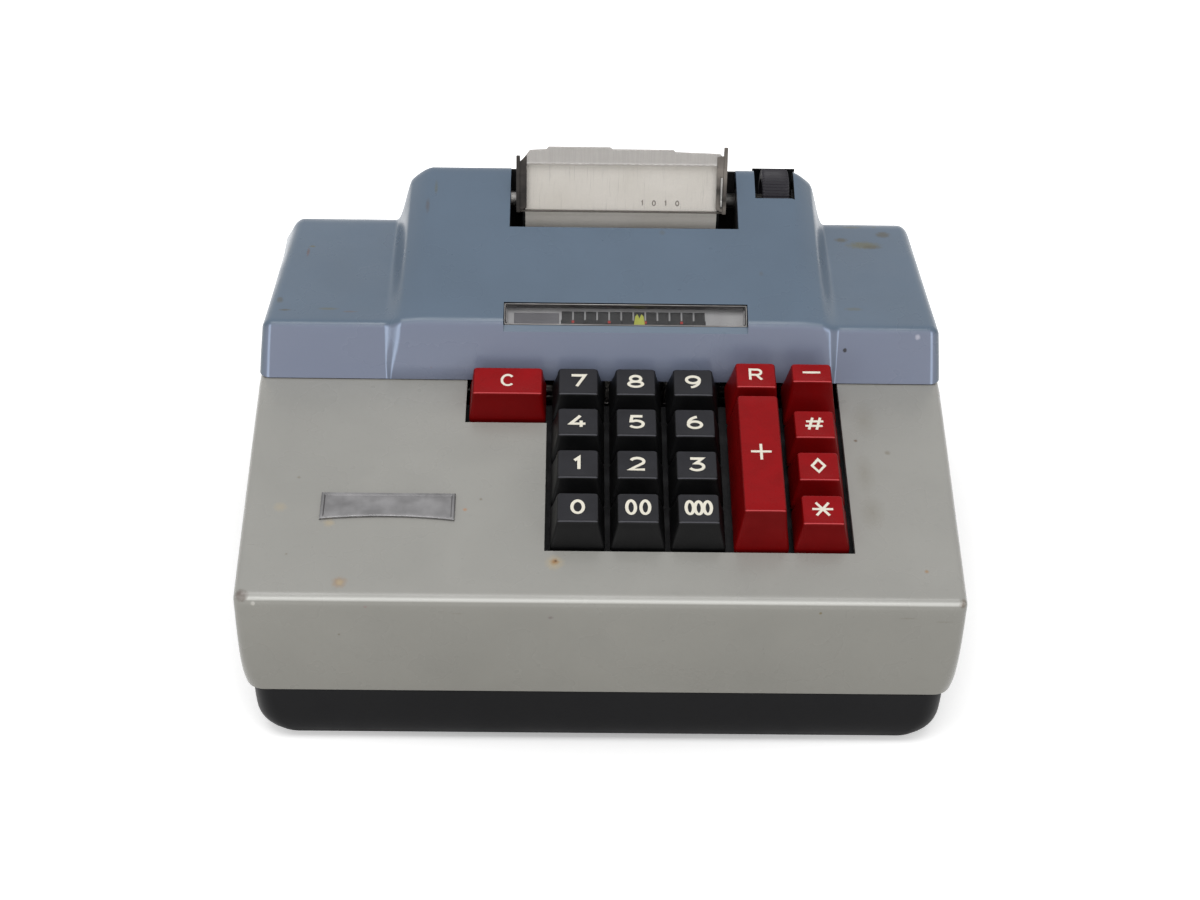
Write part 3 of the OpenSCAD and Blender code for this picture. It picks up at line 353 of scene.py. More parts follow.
def painted(name, base, marks=(), roughness=0.42, mottle=0.1, peel=0.012, front_reflection_tint=None, dust=None, shine=0.5,
            rim_highlight_tint=None, corner_glint_tint=None):
    """Old spray paint, with painted reflection and highlights where it faces front, and dust where it faces up."""
    material, tree, shader, place = finish(name, Specular_IOR_Level=shine)
    cloud = noise(tree, place, 28, 4, 0.4)
    fine = noise(tree, place, 420, 2)
    across, back, up = normal_parts(tree)
    colour = mix(tree, ranged(tree, cloud, 0.3, 0.7), scaled(base, 1 - mottle), scaled(base, 1 + mottle))
    colour = mix(tree, ranged(tree, fine, 0.62, 0.8, 0.0, 0.18), colour, scaled(base, 0.75))
    # A painted reflection: faces that look to the front take a paler tint.
    if front_reflection_tint:
        colour = mix(tree, ranged(tree, back, -0.6, -0.93), colour, front_reflection_tint)
    # A painted highlight on front rims, where the surface turns from up to front.
    if rim_highlight_tint:
        to_front = ranged(tree, back, -0.45, -0.6, 0.0, 0.85)
        on_rim = band(tree, up, 0.42, 0.55, 0.66, 0.8)
        colour = mix(tree, math_node(tree, "MULTIPLY", to_front, on_rim), colour, rim_highlight_tint)
    # Painted glints on the upright corners just off the front.
    if corner_glint_tint:
        to_front = ranged(tree, back, -0.72, -0.88, 0.0, 0.7)
        at_corner = band(tree, math_node(tree, "ABSOLUTE", across), 0.07, 0.15, 0.24, 0.36)
        colour = mix(tree, math_node(tree, "MULTIPLY", to_front, at_corner), colour, corner_glint_tint)
    if dust:
        upward = ranged(tree, up, 0.5, 1.0, 0.0, 0.5)
        colour = mix(tree, math_node(tree, "MULTIPLY", upward, cloud), colour, dust)
    colour = spotted(tree, place, colour, marks)
    tree.links.new(colour, shader.inputs["Base Color"])
    rough = ranged(tree, noise(tree, place, 60, 3), 0.3, 0.7, roughness - 0.06, roughness + 0.08)
    tree.links.new(rough, shader.inputs["Roughness"])
    bump(tree, shader, noise(tree, place, 750, 2), peel)
    return material


RUST, RUST_PALE, RUST_DARK = tint(150, 112, 66), tint(176, 160, 128), tint(92, 66, 40)
GRIME, CHIP, BARE = tint(120, 114, 100), tint(96, 84, 76), tint(205, 203, 198)
PINKISH, DULL = tint(150, 120, 120), tint(112, 100, 100)
DECK_SOFTNESS, STREAK_SOFTNESS = 0.7, 1.1
DECK_SPOTS = [
    (-15.3, 16.2, 3.6, RUST_PALE, 0.6), (-15.3, 16.6, 1.7, RUST, 0.85), (-15.0, 17.0, 0.7, RUST_DARK, 0.8),
    (-85.1, 6.8, 3.0, RUST, 0.5), (-84.9, 6.8, 1.5, RUST_PALE, 0.6), (-45.6, 39.6, 0.9, tint(170, 130, 100), 0.8),
    (-90.5, 33.0, 2.2, RUST_PALE, 0.5), (-107.4, 40.0, 2.6, RUST_PALE, 0.35), (106.8, 13.8, 0.9, RUST, 0.7),
    (88.3, 73.9, 0.8, RUST_DARK, 0.8), (98.9, 68.2, 1.3, GRIME, 0.6), (-40.4, 44.5, 0.7, GRIME, 0.7),
    (-102.4, 53.8, 0.8, GRIME, 0.6), (-103.4, 19.0, 0.6, GRIME, 0.6),
]
DECK_STREAKS = [(92.1, 84.0, (5, 10, 5), 0.35), (90.1, 58.0, (4, 12, 5), 0.38), (91.1, 40.0, (5, 9, 5), 0.4)]
FRONT_MARKS = [
    (-116.5, 1.5, 64.5, (2.6, 2.6, 2.4), CHIP, 0.75, 0.5), (-112.6, 0.5, 62.4, (1.0, 1.4, 1.0), BARE, 0.8, 0.5),
    (-85.5, 0.5, 49.6, (0.7, 1.0, 0.7), GRIME, 0.8, 0.5), (-76.3, 0.5, 61.6, (0.9, 1.0, 0.7), PINKISH, 0.6, 0.5),
    (-46.6, 0.5, 59.0, (2.4, 1.0, 0.5), GRIME, 0.5, 0.7), (-16.4, 0.5, 57.6, (1.4, 1.0, 0.9), DULL, 0.7, 0.6),
    (71.3, 0.5, 60.5, (0.8, 1.0, 0.8), tint(112, 98, 50), 0.9, 0.5),
    (99.7, 0.5, 58.6, (4.0, 1.2, 0.5), GRIME, 0.55, 0.8),
    (112.0, 0.8, 57.2, (4.5, 1.8, 0.5), GRIME, 0.5, 0.8), (117.4, 2.0, 63.6, (1.6, 2.4, 1.6), RUST_DARK, 0.7, 0.6),
    (118.6, 24.0, 64.5, (1.2, 2.6, 2.2), RUST, 0.6, 0.7),
]
case_marks = [(on_deck(x, u), (half,) * 3, stain, share, DECK_SOFTNESS) for x, u, half, stain, share in DECK_SPOTS]
case_marks += [(on_deck(x, u), halves, GRIME, share, STREAK_SOFTNESS) for x, u, halves, share in DECK_STREAKS]
case_marks += [(row(x, depth, z), *mark) for x, depth, z, *mark in FRONT_MARKS]
# The rim tint is a painted highlight along the deck's rounded front edge.
case_paint = painted("case_paint", tint(151, 150, 145), case_marks, roughness=0.28, mottle=0.05,
                     rim_highlight_tint=tint(214, 214, 210))
print("case paint with", len(case_marks), "marks")

# %% [markdown]
# The blue cover is the same sort of paint. Where it faces front, a painted reflection makes it a little lavender,
# and its shoulders show olive-brown stains where something once stood on it. Painted highlights run up the front
# strip's corners.

# %% Cover paint and pan paint
OLIVE, OLIVE_DARK = tint(92, 90, 62), tint(72, 66, 44)
SHOULDER_REACH, SHOULDER_SOFTNESS = 2.0, 0.6
SHOULDER_MARKS = [
    (97.8, 162.8, 7.4, 3.2, OLIVE, 0.75), (89.9, 166.4, 3.0, 1.9, OLIVE_DARK, 0.7),
    (100.8, 161.5, 4.0, 1.8, OLIVE_DARK, 0.55), (105.8, 170.5, 3.4, 2.6, OLIVE_DARK, 0.7),
    (94.5, 176.0, 4.6, 1.3, OLIVE, 0.45), (103.1, 176.5, 1.2, 1.0, OLIVE, 0.5),
    (-107.3, 153.5, 0.7, 3.4, tint(92, 70, 66), 0.7), (-106.1, 157.6, 1.5, 0.8, OLIVE, 0.7),
    (-115.0, 158.0, 0.8, 4.0, OLIVE_DARK, 0.5), (-114.2, 121.0, 1.6, 2.4, OLIVE_DARK, 0.5),
    (-111.8, 114.5, 2.6, 0.8, OLIVE_DARK, 0.6), (-96.7, 115.5, 4.5, 1.0, OLIVE, 0.5),
    (-88.7, 113.8, 3.0, 0.7, tint(98, 78, 70), 0.45), (90.1, 119.0, 4.0, 1.4, OLIVE, 0.4),
]
TOWER_MARKS = [
    (-63.2, 158.0, 118.6, (1.0, 4.6, 3.0), tint(82, 78, 80), 0.6, 0.7),
    (-60.4, 166.0, 122.0, (0.8, 4.0, 3.0), OLIVE, 0.4, 0.7),
    (86.1, 104.0, 93.5, (0.9, 1.6, 0.9), tint(30, 28, 34), 0.95, 0.4),
    (111.6, 106.0, 98.3, (1.2, 1.6, 1.2), tint(190, 190, 205), 0.8, 0.6),
    (-59.7, 102.0, 86.5, (0.9, 1.4, 0.7), tint(120, 84, 84), 0.7, 0.6),
    (22.1, 146.0, 116.0, (1.4, 1.6, 1.4), tint(86, 90, 92), 0.5, 0.7),
    (57.1, 128.0, 110.0, (1.0, 1.4, 1.0), tint(84, 88, 92), 0.5, 0.7),
]
cover_marks = [(row(x, depth, SHOULDER), (half_x, half_y, SHOULDER_REACH), stain, share, SHOULDER_SOFTNESS)
               for x, depth, half_x, half_y, stain, share in SHOULDER_MARKS]
cover_marks += [(row(x, depth, z), *mark) for x, depth, z, *mark in TOWER_MARKS]
# Its front tint is a painted reflection, and its corner tint paints glints on the front strip's upright corners.
cover_paint = painted("cover_paint", tint(85, 102, 120), cover_marks, roughness=0.3, mottle=0.05,
                      front_reflection_tint=tint(122, 130, 151), corner_glint_tint=tint(170, 188, 218))
pan_paint = painted("pan_paint", tint(22, 22, 24), roughness=0.42, mottle=0.12, peel=0.03,
                    dust=tint(34, 32, 31), shine=0.1)
print("cover paint with", len(cover_marks), "marks")


# %% [markdown]
# The keys are moulded in two plastics: the figure is a second, cream plastic that goes right through the cap, so
# it never wears off. Fingers polish the tops smoother than the sides. The tops are also painted lighter, partly
# wear and partly painted light, and a painted highlight runs along their front rims.

# %% Plastics
POLISH = 0.12


def moulded(name, base, roughness, grain=0.01, top_wear_and_light=None, shine=0.3, edge=None):
    """Moulded plastic, with a top lighter by wear and painted light, and a painted highlight on its front rim."""
    material, tree, shader, place = finish(name, Specular_IOR_Level=shine)
    cloud = noise(tree, place, 160, 3)
    _, back, up = normal_parts(tree)
    top = ranged(tree, up, 0.75, 0.97)
    colour = mix(tree, ranged(tree, cloud, 0.3, 0.7), base, scaled(base, 0.86))
    # The top is made lighter, partly wear and partly painted light falling on it.
    if top_wear_and_light:
        wear_and_light_mask = math_node(tree, "MULTIPLY", top, ranged(tree, cloud, 0.2, 0.8, 0.55, 1.0))
        colour = mix(tree, wear_and_light_mask, colour, top_wear_and_light)
    # A painted highlight along the top's front rim.
    if edge:
        on_edge = band(tree, back, -0.95, -0.84, -0.66, -0.5)
        on_edge = math_node(tree, "MULTIPLY", on_edge, ranged(tree, up, 0.3, 0.5, 0.0, 0.8))
        colour = mix(tree, on_edge, colour, edge)
    tree.links.new(colour, shader.inputs["Base Color"])
    smooth = ranged(tree, cloud, 0.35, 0.75, roughness - 0.05, roughness + 0.1)
    tree.links.new(math_node(tree, "MULTIPLY_ADD", top, -POLISH, smooth), shader.inputs["Roughness"])
    bump(tree, shader, noise(tree, place, 1400, 1), grain)
    return material


# The rim colours of the keys are painted highlights.
key_black = moulded("key_black", tint(10, 10, 11), 0.46, top_wear_and_light=tint(37, 37, 42), shine=0.2, edge=tint(84, 84, 90))
key_red = moulded("key_red", tint(114, 4, 6), 0.4, top_wear_and_light=tint(148, 12, 18), shine=0.1, edge=tint(214, 84, 88))
key_figure = moulded("key_figure", tint(226, 220, 204), 0.5, top_wear_and_light=tint(232, 227, 212))
wheel_plastic = moulded("wheel_plastic", tint(40, 38, 44), 0.5, grain=0.02)
inlet_plastic = moulded("inlet_plastic", tint(24, 22, 22), 0.4)
platen_rubber = moulded("platen_rubber", tint(32, 32, 34), 0.72, grain=0.03)
foot_rubber = moulded("foot_rubber", tint(24, 24, 25), 0.85, grain=0.06)
ribbon_cloth = moulded("ribbon_cloth", tint(34, 26, 42), 0.9, grain=0.04)
print("eight moulded finishes")


# %% [markdown]
# Metals take their look from how they were worked. Turned and drawn parts show fine lines along one axis, so the
# noise is stretched that way and moves both the roughness and the surface.

# %% Metals
def metal(name, base, roughness, along=(1, 14, 14), grime=0.25, metallic=1.0):
    """Worked metal. along squeezes the tool marks into lines, and grime is how much the dull patches lose."""
    material, tree, shader, place = finish(name, Metallic=metallic)
    lines = noise(tree, place, 260, 2, squeeze=along)
    cloud = noise(tree, place, 120, 3)
    colour = mix(tree, ranged(tree, cloud, 0.35, 0.7), base, scaled(base, 1 - grime))
    tree.links.new(colour, shader.inputs["Base Color"])
    tree.links.new(ranged(tree, lines, 0.3, 0.7, roughness - 0.08, roughness + 0.12), shader.inputs["Roughness"])
    bump(tree, shader, lines, 0.01)
    return material


steel = metal("steel", tint(168, 166, 163), 0.34)
dark_steel = metal("dark_steel", tint(26, 26, 28), 0.6, along=(4, 4, 4), metallic=0.2)
brass = metal("brass", tint(196, 160, 96), 0.3)
badge_metal = metal("badge_metal", tint(146, 145, 146), 0.36, along=(3, 20, 20), grime=0.4)
arm_metal = metal("arm_metal", tint(118, 112, 106), 0.4, along=(0.4, 6, 6), grime=0.85, metallic=0.7)
# A darker copy of the arm metal, painted shade for the left arm.
shaded_arm_metal = metal("shaded_arm_metal", tint(74, 69, 65), 0.5, along=(0.4, 6, 6), grime=0.85, metallic=0.5)
bezel_metal = metal("bezel_metal", tint(112, 110, 109), 0.36, along=(1, 10, 10), metallic=0.8)
print("seven metals")


# %% [markdown]
# Paper is matt, a little warm, and mottled by its fibres. The clear plastic of the shield and of the window has
# gone hazy: it lets the paper through, adds a grey veil, and is cloudier at the shield's handled top edge. Alpha
# is enough for such a thin plate, where bent light would not be noticed.

# %% Paper, prints and clear plastic
def papery(name, base):
    material, tree, shader, place = finish(name, Roughness=0.85)
    fibres = noise(tree, place, 500, 4, 1.0, squeeze=(1, 3, 3))
    cloud = noise(tree, place, 35, 3)
    colour = mix(tree, ranged(tree, fibres, 0.3, 0.75), base, scaled(base, 0.93))
    colour = mix(tree, ranged(tree, cloud, 0.4, 0.75, 0.0, 0.35), colour, tint(196, 190, 176))
    tree.links.new(colour, shader.inputs["Base Color"])
    bump(tree, shader, fibres, 0.03)
    return material


paper = papery("paper", tint(243, 238, 231))
paper_edge = papery("paper_edge", tint(226, 218, 202))


def hazy(name, base, low, high, clear, cloudy, roughness, shine=0.5):
    """Clear plastic whose haze grows with height, between two heights in mm."""
    material, tree, shader, place = finish(name, Roughness=roughness, Specular_IOR_Level=shine)
    height = node(tree, "ShaderNodeSeparateXYZ", {0: place}).outputs[2]
    scuffs = noise(tree, place, 300, 2, squeeze=(8, 1, 0.2))
    veil = ranged(tree, height, low * MM, high * MM, clear, cloudy)
    veil = math_node(tree, "MULTIPLY_ADD", ranged(tree, scuffs, 0.62, 0.72), 0.08, veil)
    tree.links.new(veil, shader.inputs["Alpha"])
    colour = mix(tree, ranged(tree, scuffs, 0.4, 0.8), base, scaled(base, 0.85))
    tree.links.new(colour, shader.inputs["Base Color"])
    return material


HAZE_END = box_mm("tear_shield")[1].z - 6.6
shield_plastic = hazy("shield_plastic", tint(186, 181, 176), HAZE_END - 0.6, HAZE_END, 0.05, 0.76, 0.12)
# A dark strip that paints the shadow along the shield's foot.
painted_foot_shadow = hazy("painted_foot_shadow", tint(96, 90, 84), 0, 1, 0.7, 0.74, 0.3)
lens_plastic = hazy("lens_plastic", tint(150, 150, 152), 0, 1, 0.02, 0.03, 0.1, 0.08)
scale_black = moulded("scale_black", tint(12, 12, 13), 0.5)
scale_grey = moulded("scale_grey", tint(160, 159, 160), 0.5)
# A darker grey that paints the shade in the trough beside the cells.
trough_shade_grey = moulded("trough_shade_grey", tint(95, 94, 98), 0.5)
scale_red = moulded("scale_red", tint(168, 52, 48), 0.6)
pointer_paint = moulded("pointer_paint", tint(168, 172, 62), 0.5)
print_ink = moulded("print_ink", tint(140, 132, 126), 0.8)
# The lining paints shade on hollow insides and on dark pieces that close them off.
painted_shade_lining = moulded("painted_shade_lining", tint(16, 16, 17), 0.8)
print("paper, clear plastics and prints")

# %% [markdown]
# Every CAD node that stays in view keeps its shape and gets the finish of its own material slot. A weld joins the
# imported faces, and a narrow bevel takes the unreal sharpness off the edges.

# %% Finishes for the CAD nodes
BY_SLOT = {
    "pan_paint": pan_paint, "case_paint": case_paint, "cover_paint": cover_paint, "key_black": key_black,
    "key_red": key_red, "steel": steel, "dark_steel": dark_steel, "brass": brass, "badge_metal": badge_metal,
    "bezel_metal": bezel_metal, "clear_plastic": lens_plastic, "scale_print": scale_grey,
    "pointer_paint": pointer_paint, "inlet_plastic": inlet_plastic, "wheel_plastic": wheel_plastic,
    "platen_rubber": platen_rubber, "rubber": foot_rubber, "paper": paper, "ribbon_cloth": ribbon_cloth,
}
EDGE_BREAK, FACE_GAP, EDGE_ANGLE = 0.15, 0.005, 40
for part in frame["record"]["subparts"]:
    cad = frame["nodes"][part["node"]]
    cad.data.materials.clear()
    cad.data.materials.append(BY_SLOT[part["material_slot"]])
    weld = cad.modifiers.new("weld", "WELD")
    weld.merge_threshold = FACE_GAP * MM
    edge = cad.modifiers.new("edges", "BEVEL")
    edge.width = EDGE_BREAK * MM
    edge.segments = 1
    edge.limit_method = "ANGLE"
    edge.angle_limit = math.radians(EDGE_ANGLE)

# %% [markdown]
# The lower case is a pressing: a flat sloping deck with a tight rounded edge, and walls that curve in and grow
# rounder toward the pan. A subdivision cage would soften the deck's crisp edge, so the shape is lofted instead.
# Each ring is one plan outline, a little narrower in front. Its height follows the roof line, which rises along
# the deck, runs level under the cover and slants down at the back. The last rings draw the rounded rim.

# %% Outline rings for the case and the pan
BACK_SLANT = math.radians(42)
BACK_FOOT = SHOULDER_BACK + SHOULDER_RISE / math.tan(BACK_SLANT)
RIM_RADIUS = 3.2
SIDE_TUCK, FRONT_TUCK, FRONT_IN = 1.0, 1.5, 1.5
PAN_STEP = 2.2
ARC_STEPS, WALL_STEPS, RIM_STEPS = 9, 16, 6
SIDE_CURVE, FRONT_CURVE, CORNER_CURVE, CORNER_GROWTH = 7, 3.5, 2.5, 3.3


def roof(depth, inset):
    """Height of the case's top at a depth, moved in by an inset square to each face."""
    deck = DECK_FRONT + depth * math.tan(DECK_TILT) - inset / math.cos(DECK_TILT)
    back = COVER_FOOT - (depth - BACK_FOOT) * math.tan(BACK_SLANT) - inset / math.cos(BACK_SLANT)
    return min(deck, COVER_FOOT - inset, back)


def kinks(inset):
    """The two depths where the roof line bends."""
    first = (COVER_FOOT - inset - DECK_FRONT + inset / math.cos(DECK_TILT)) / math.tan(DECK_TILT)
    return first, BACK_FOOT + (inset - inset / math.cos(BACK_SLANT)) / math.tan(BACK_SLANT)


def narrower(depth):
    """How much nearer the middle each side is toward the front."""
    return FRONT_IN * min(1.0, max(0.0, 1 - (depth - RIM_RADIUS) / (DECK_END - RIM_RADIUS)))


def plan_ring(half, front, rear, radius, height, bends):
    """A rounded outline: its left half from front to rear, then the right half back again."""
    radius = max(radius, 0.05)
    turns = [math.radians(90 * i / ARC_STEPS) for i in range(ARC_STEPS + 1)]
    left = [(radius - half - radius * math.sin(a), front + radius - radius * math.cos(a)) for a in turns]
    left += [(-half, depth) for depth in bends]
    left += [(radius - half - radius * math.sin(a), rear - radius + radius * math.cos(a)) for a in reversed(turns)]
    left = [(x + narrower(y), y) for x, y in left]
    ring = left + [(-x, y) for x, y in reversed(left)]
    return [row(x, y, height(y)) for x, y in ring]


def tub(rings):
    """Lofts outline rings and closes both ends with strips from left to right."""
    points, faces = loft(rings, capped=False)
    size = len(rings[0])
    for first in (0, len(points) - size):
        for i in range(size // 2 - 1):
            faces.append((first + i, first + i + 1, first + size - 2 - i, first + size - 1 - i))
    return points, faces


def case_rings(inset, low):
    """Outlines from the case's foot up to the deck. The share of the tuck is 1 at the foot and 0 at the rim."""
    bends = kinks(inset)
    rim = max(RIM_RADIUS - inset, 0.6)
    rings = []
    for step in range(WALL_STEPS, -1, -1):
        share = step / WALL_STEPS
        half = HALF_WIDTH - inset - SIDE_TUCK * share ** SIDE_CURVE
        front = inset + FRONT_TUCK * share ** FRONT_CURVE
        corner = RIM_RADIUS - inset + CORNER_GROWTH * share ** CORNER_CURVE

        def wall(y, share=share):
            edge = roof(y, inset) - rim
            return edge - share * (edge - low)
        rings.append(plan_ring(half, front, CASE_DEPTH - front, corner, wall, bends))
    for step in range(1, RIM_STEPS + 1):
        a = math.radians(90 * step / RIM_STEPS)
        e = inset + rim * (1 - math.cos(a))
        rings.append(plan_ring(HALF_WIDTH - e, e, CASE_DEPTH - e, RIM_RADIUS - e,
                               lambda y, a=a: roof(y, inset) - rim * (1 - math.sin(a)), bends))
    return rings


print("roof heights", [round(roof(y, 0), 1) for y in (0, DECK_END, BACK_FOOT, CASE_DEPTH)])

# %% [markdown]
# The openings are then cut as the press would cut them: the keyboard's stepped window, the large hole that the
# cover hides, the trough for the paper roll, and at the back the inlet and a row of cooling slots. The inside is a
# second, smaller loft taken away from the first, which leaves a wall of even thickness.

# %% Lower case
KEY_X = {n: sum(c.x for c in box_mm("key_" + n)) / 2 for n in ("1", "2", "3", "plus", "hash", "clear")}
KEY_BASE = 18.2
CLEAR_WIDTH = 26.7
FIRST_ROW, ROW_PITCH = 32.0, 20.0
MARGIN, FRONT_MARGIN, CLEAR_MARGIN = 1.8, 1.5, 1.3
cut_left = KEY_X["1"] - KEY_BASE / 2 - MARGIN
cut_right = KEY_X["hash"] + KEY_BASE / 2 + MARGIN
cut_front = FIRST_ROW - KEY_BASE / 2 - FRONT_MARGIN
clear_left = KEY_X["clear"] - CLEAR_WIDTH / 2 - CLEAR_MARGIN
clear_front = FIRST_ROW + 3 * ROW_PITCH - KEY_BASE / 2 - MARGIN
NOTCH_LEFT, NOTCH_RIGHT = -33.2, 49.8
BACK_WALL = roof(CASE_DEPTH, 0)
THROUGH, DECK_CUT_END = 20, 110
LEDGE, REAR_CUT = 8, CASE_DEPTH - 8

lower_case = new_piece("lower_case", *tub(case_rings(0, PAN_TOP)))
carve(lower_case, new_piece("inside", *tub(case_rings(WALL, PAN_TOP - 1))))
keyboard = block((cut_left, cut_front, -THROUGH), (cut_right, DECK_CUT_END, THROUGH), on_deck)
clear_corner = block((clear_left, clear_front, -THROUGH), (cut_left + 1, DECK_CUT_END, THROUGH), on_deck)
carve(lower_case, tool_of(keyboard), tool_of(clear_corner))
under_cover = block((LEDGE - HALF_WIDTH, DECK_END + 5, COVER_FOOT - 10),
                    (HALF_WIDTH - LEDGE, BACK_FOOT - LEDGE, COVER_FOOT + 10))
roll_trough = block((NOTCH_LEFT - 1, BACK_FOOT - 26, BACK_WALL + 1.5),
                    (NOTCH_RIGHT + 1, CASE_DEPTH - 5, BACK_WALL + 41))
carve(lower_case, tool_of(under_cover), tool_of(roll_trough))
INLET_X, INLET_WIDTH, INLET_HEIGHT = -80, 24, 15
INLET_Z = (PAN_TOP + BACK_WALL) / 2
inlet_hole = block((INLET_X - INLET_WIDTH / 2, REAR_CUT, INLET_Z - INLET_HEIGHT / 2),
                   (INLET_X + INLET_WIDTH / 2, CASE_DEPTH + 2, INLET_Z + INLET_HEIGHT / 2))
VENT_WIDTH, VENT_LOW, VENT_HIGH = 3, PAN_TOP + 6, BACK_WALL - 8
slots = [block((x, REAR_CUT, VENT_LOW), (x + VENT_WIDTH, CASE_DEPTH + 2, VENT_HIGH)) for x in range(40, 96, 7)]
carve(lower_case, tool_of(inlet_hole, *slots))


def inside_case(centre, normal):
    """Faces inside the case: its ceiling, and walls that look toward the middle."""
    depth = centre.y + HALF_DEPTH
    if normal.z < -0.5:
        return centre.z > PAN_TOP + 1
    side = abs(centre.x) > 90 and normal.x * centre.x < -20
    end = (depth < 12 and normal.y > 0.4) or (depth > REAR_CUT and normal.y < -0.4)
    return side or end


# The case's inside takes painted shade.
line_inside(lower_case, case_paint, painted_shade_lining, inside_case)
dress(lower_case, "case", case_paint, ["lower_housing"], bevel=0.35)

# %% [markdown]
# The pan carries on where the case stops and sweeps in to the feet. It sits a hair behind the case's rim, so a
# thin shadow line runs round the joint, as it does between two real pressings. Screw recesses are bored from
# below.

# %% Foot pan
JOINT_GAP = 0.35
PAN_STEPS, PAN_BENDS = 14, (DECK_END, 200)
PAN_CORNER, SOLE_CORNER, SOLE_STEP, SOLE_RISE = 7, 9.6, 0.9, 0.3
PAN_TAPER, PAN_TURN, CORNER_TAPER = 0.3, 3.6, 3.5
PAN_FRONT_STEP, PAN_FRONT_TAPER, PAN_FRONT_TURN = 0.3, 0.2, 1.4


def pan_rings(inset, top):
    """Outlines from the pan's top down: nearly upright, then a quick turn in to the sole."""
    rings = []
    for step in range(PAN_STEPS + 1):
        w = step / PAN_STEPS
        half = HALF_WIDTH - SIDE_TUCK - PAN_STEP - inset - (PAN_TAPER * w + PAN_TURN * w ** 7)
        z = top - (top - PAN_FOOT - SOLE_RISE - inset) * w
        front = FRONT_TUCK + PAN_FRONT_STEP + PAN_FRONT_TAPER * w + PAN_FRONT_TURN * w ** 6 + inset
        rings.append(plan_ring(half, front, CASE_DEPTH - front, PAN_CORNER + CORNER_TAPER * w * w - inset,
                               lambda y, z=z: z, PAN_BENDS))
    front += SOLE_STEP
    rings.append(plan_ring(half - SOLE_STEP, front, CASE_DEPTH - front, SOLE_CORNER - inset,
                           lambda y: PAN_FOOT + inset, PAN_BENDS))
    return rings


def screw_rods(z0, z1, radius, sides=24):
    """Upright round bars at the four screw places."""
    turns = [2 * math.pi * i / sides for i in range(sides)]
    return tool_of(*[loft([[row(x + radius * math.cos(a), y + radius * math.sin(a), z) for a in turns]
                           for z in (z0, z1)]) for x in (-99, 99) for y in (22, 204)])


BOSS_RADIUS, HEAD_RADIUS, SCREW_HOLE, HEAD_DEPTH = 5, 3.8, 2.1, 4.4
foot_pan = new_piece("foot_pan", *tub(pan_rings(0, PAN_TOP - JOINT_GAP)))
carve(foot_pan, new_piece("inside", *tub(pan_rings(WALL, PAN_TOP + 2))))
carve(foot_pan, screw_rods(PAN_FOOT + 1, PAN_TOP - 2, BOSS_RADIUS), how="UNION")
carve(foot_pan, screw_rods(PAN_FOOT - 1, PAN_FOOT + HEAD_DEPTH, HEAD_RADIUS))
carve(foot_pan, screw_rods(PAN_FOOT - 1, PAN_TOP, SCREW_HOLE))
dress(foot_pan, "case", pan_paint, ["base_pan"], bevel=0.4)

# %% [markdown]
# Rubber feet are turned shapes, so they are drawn as a half profile and spun. The same helper spins pieces about a
# level axis later: the thumbwheel and the paper roll.

# %% Feet
def spun(profile, place, sides=48, closed=False):
    """A solid of revolution. profile holds (along, radius), and place(along, radius, angle) puts a point."""
    turns = [2 * math.pi * i / sides for i in range(sides)]
    rings = [[place(along, radius, a) for a in turns] for along, radius in profile]
    if closed:
        return loft(rings + rings[:1], capped=False)
    return loft(rings)


FOOT_PROFILE = [(0.0, 2.0), (0.0, 5.9), (0.25, 6.6), (0.9, 7.2), (2.2, 7.5), (3.0, 7.5), (3.0, 0.5)]
feet = [spun(FOOT_PROFILE, lambda z, r, a, x=x, y=y: row(x + r * math.cos(a), y + r * math.sin(a), z))
        for x in (-76, 76) for y in (26, 202)]
dress(new_piece("feet", *merged(*feet)), "case", foot_rubber, ["rubber_feet"], sharp=50)

# %% [markdown]
# The blue cover is one loft from left to right. Each station is a side view: a short front strip, a long slope to
# the crest, and the slanting back. The share of the tower's height left at a station follows a flank curve, steep
# below the crest and running out softly on the shoulder. The middle of the front strip stands a little proud of
# the shoulders' strips, with a narrow wedge-shaped crease at each side.

# %% Side views of the cover
TOWER_X, TOWER_HALF, FLANK = 3.9, 65.8, 15.2
LEAN_FRONT, LEAN_BACK = 1.0, 5.3
STRIP_LEAN, STRIP_STEP = 0.3, 2.1
END_RADIUS = 4.0
PROUD = 1.2
CREST_BACK, CREST_RISE = 177.5, 24.5
STRIP_TOP = DECK_END + SHOULDER_RISE * STRIP_LEAN
shoulder_view = [(DECK_END, COVER_FOOT), (STRIP_TOP, SHOULDER), (SHOULDER_BACK, SHOULDER), (BACK_FOOT, COVER_FOOT)]
tower_view = [(DECK_END, COVER_FOOT), (STRIP_TOP, SHOULDER + STRIP_STEP), (CREST_BACK, SHOULDER + CREST_RISE),
              (BACK_FOOT, COVER_FOOT)]


def crossing(p, u, q, v):
    """Where the line through p along u meets the line through q along v."""
    return p + u * ((q - p).cross(v) / u.cross(v))


def inset_view(corners, t):
    """A side view's corners with its three upper lines moved in by t. Both feet stay at the cover's foot."""
    lines = [(corners[i + 1] - corners[i]).normalized() for i in range(3)]
    moved = [corners[i] + t * Vector((lines[i].y, -lines[i].x)) for i in range(3)]
    level = Vector((1.0, 0.0))
    return [crossing(moved[0], lines[0], corners[0], level), crossing(moved[0], lines[0], moved[1], lines[1]),
            crossing(moved[1], lines[1], moved[2], lines[2]), crossing(moved[2], lines[2], corners[3], level)]


def bend(a, b, c, radius, steps):
    """Points of a rounded corner b between the neighbours a and c."""
    start, end = b + (a - b).normalized() * radius, b + (c - b).normalized() * radius
    shares = [i / steps for i in range(steps + 1)]
    return [(1 - k) ** 2 * start + 2 * k * (1 - k) * b + k * k * end for k in shares]


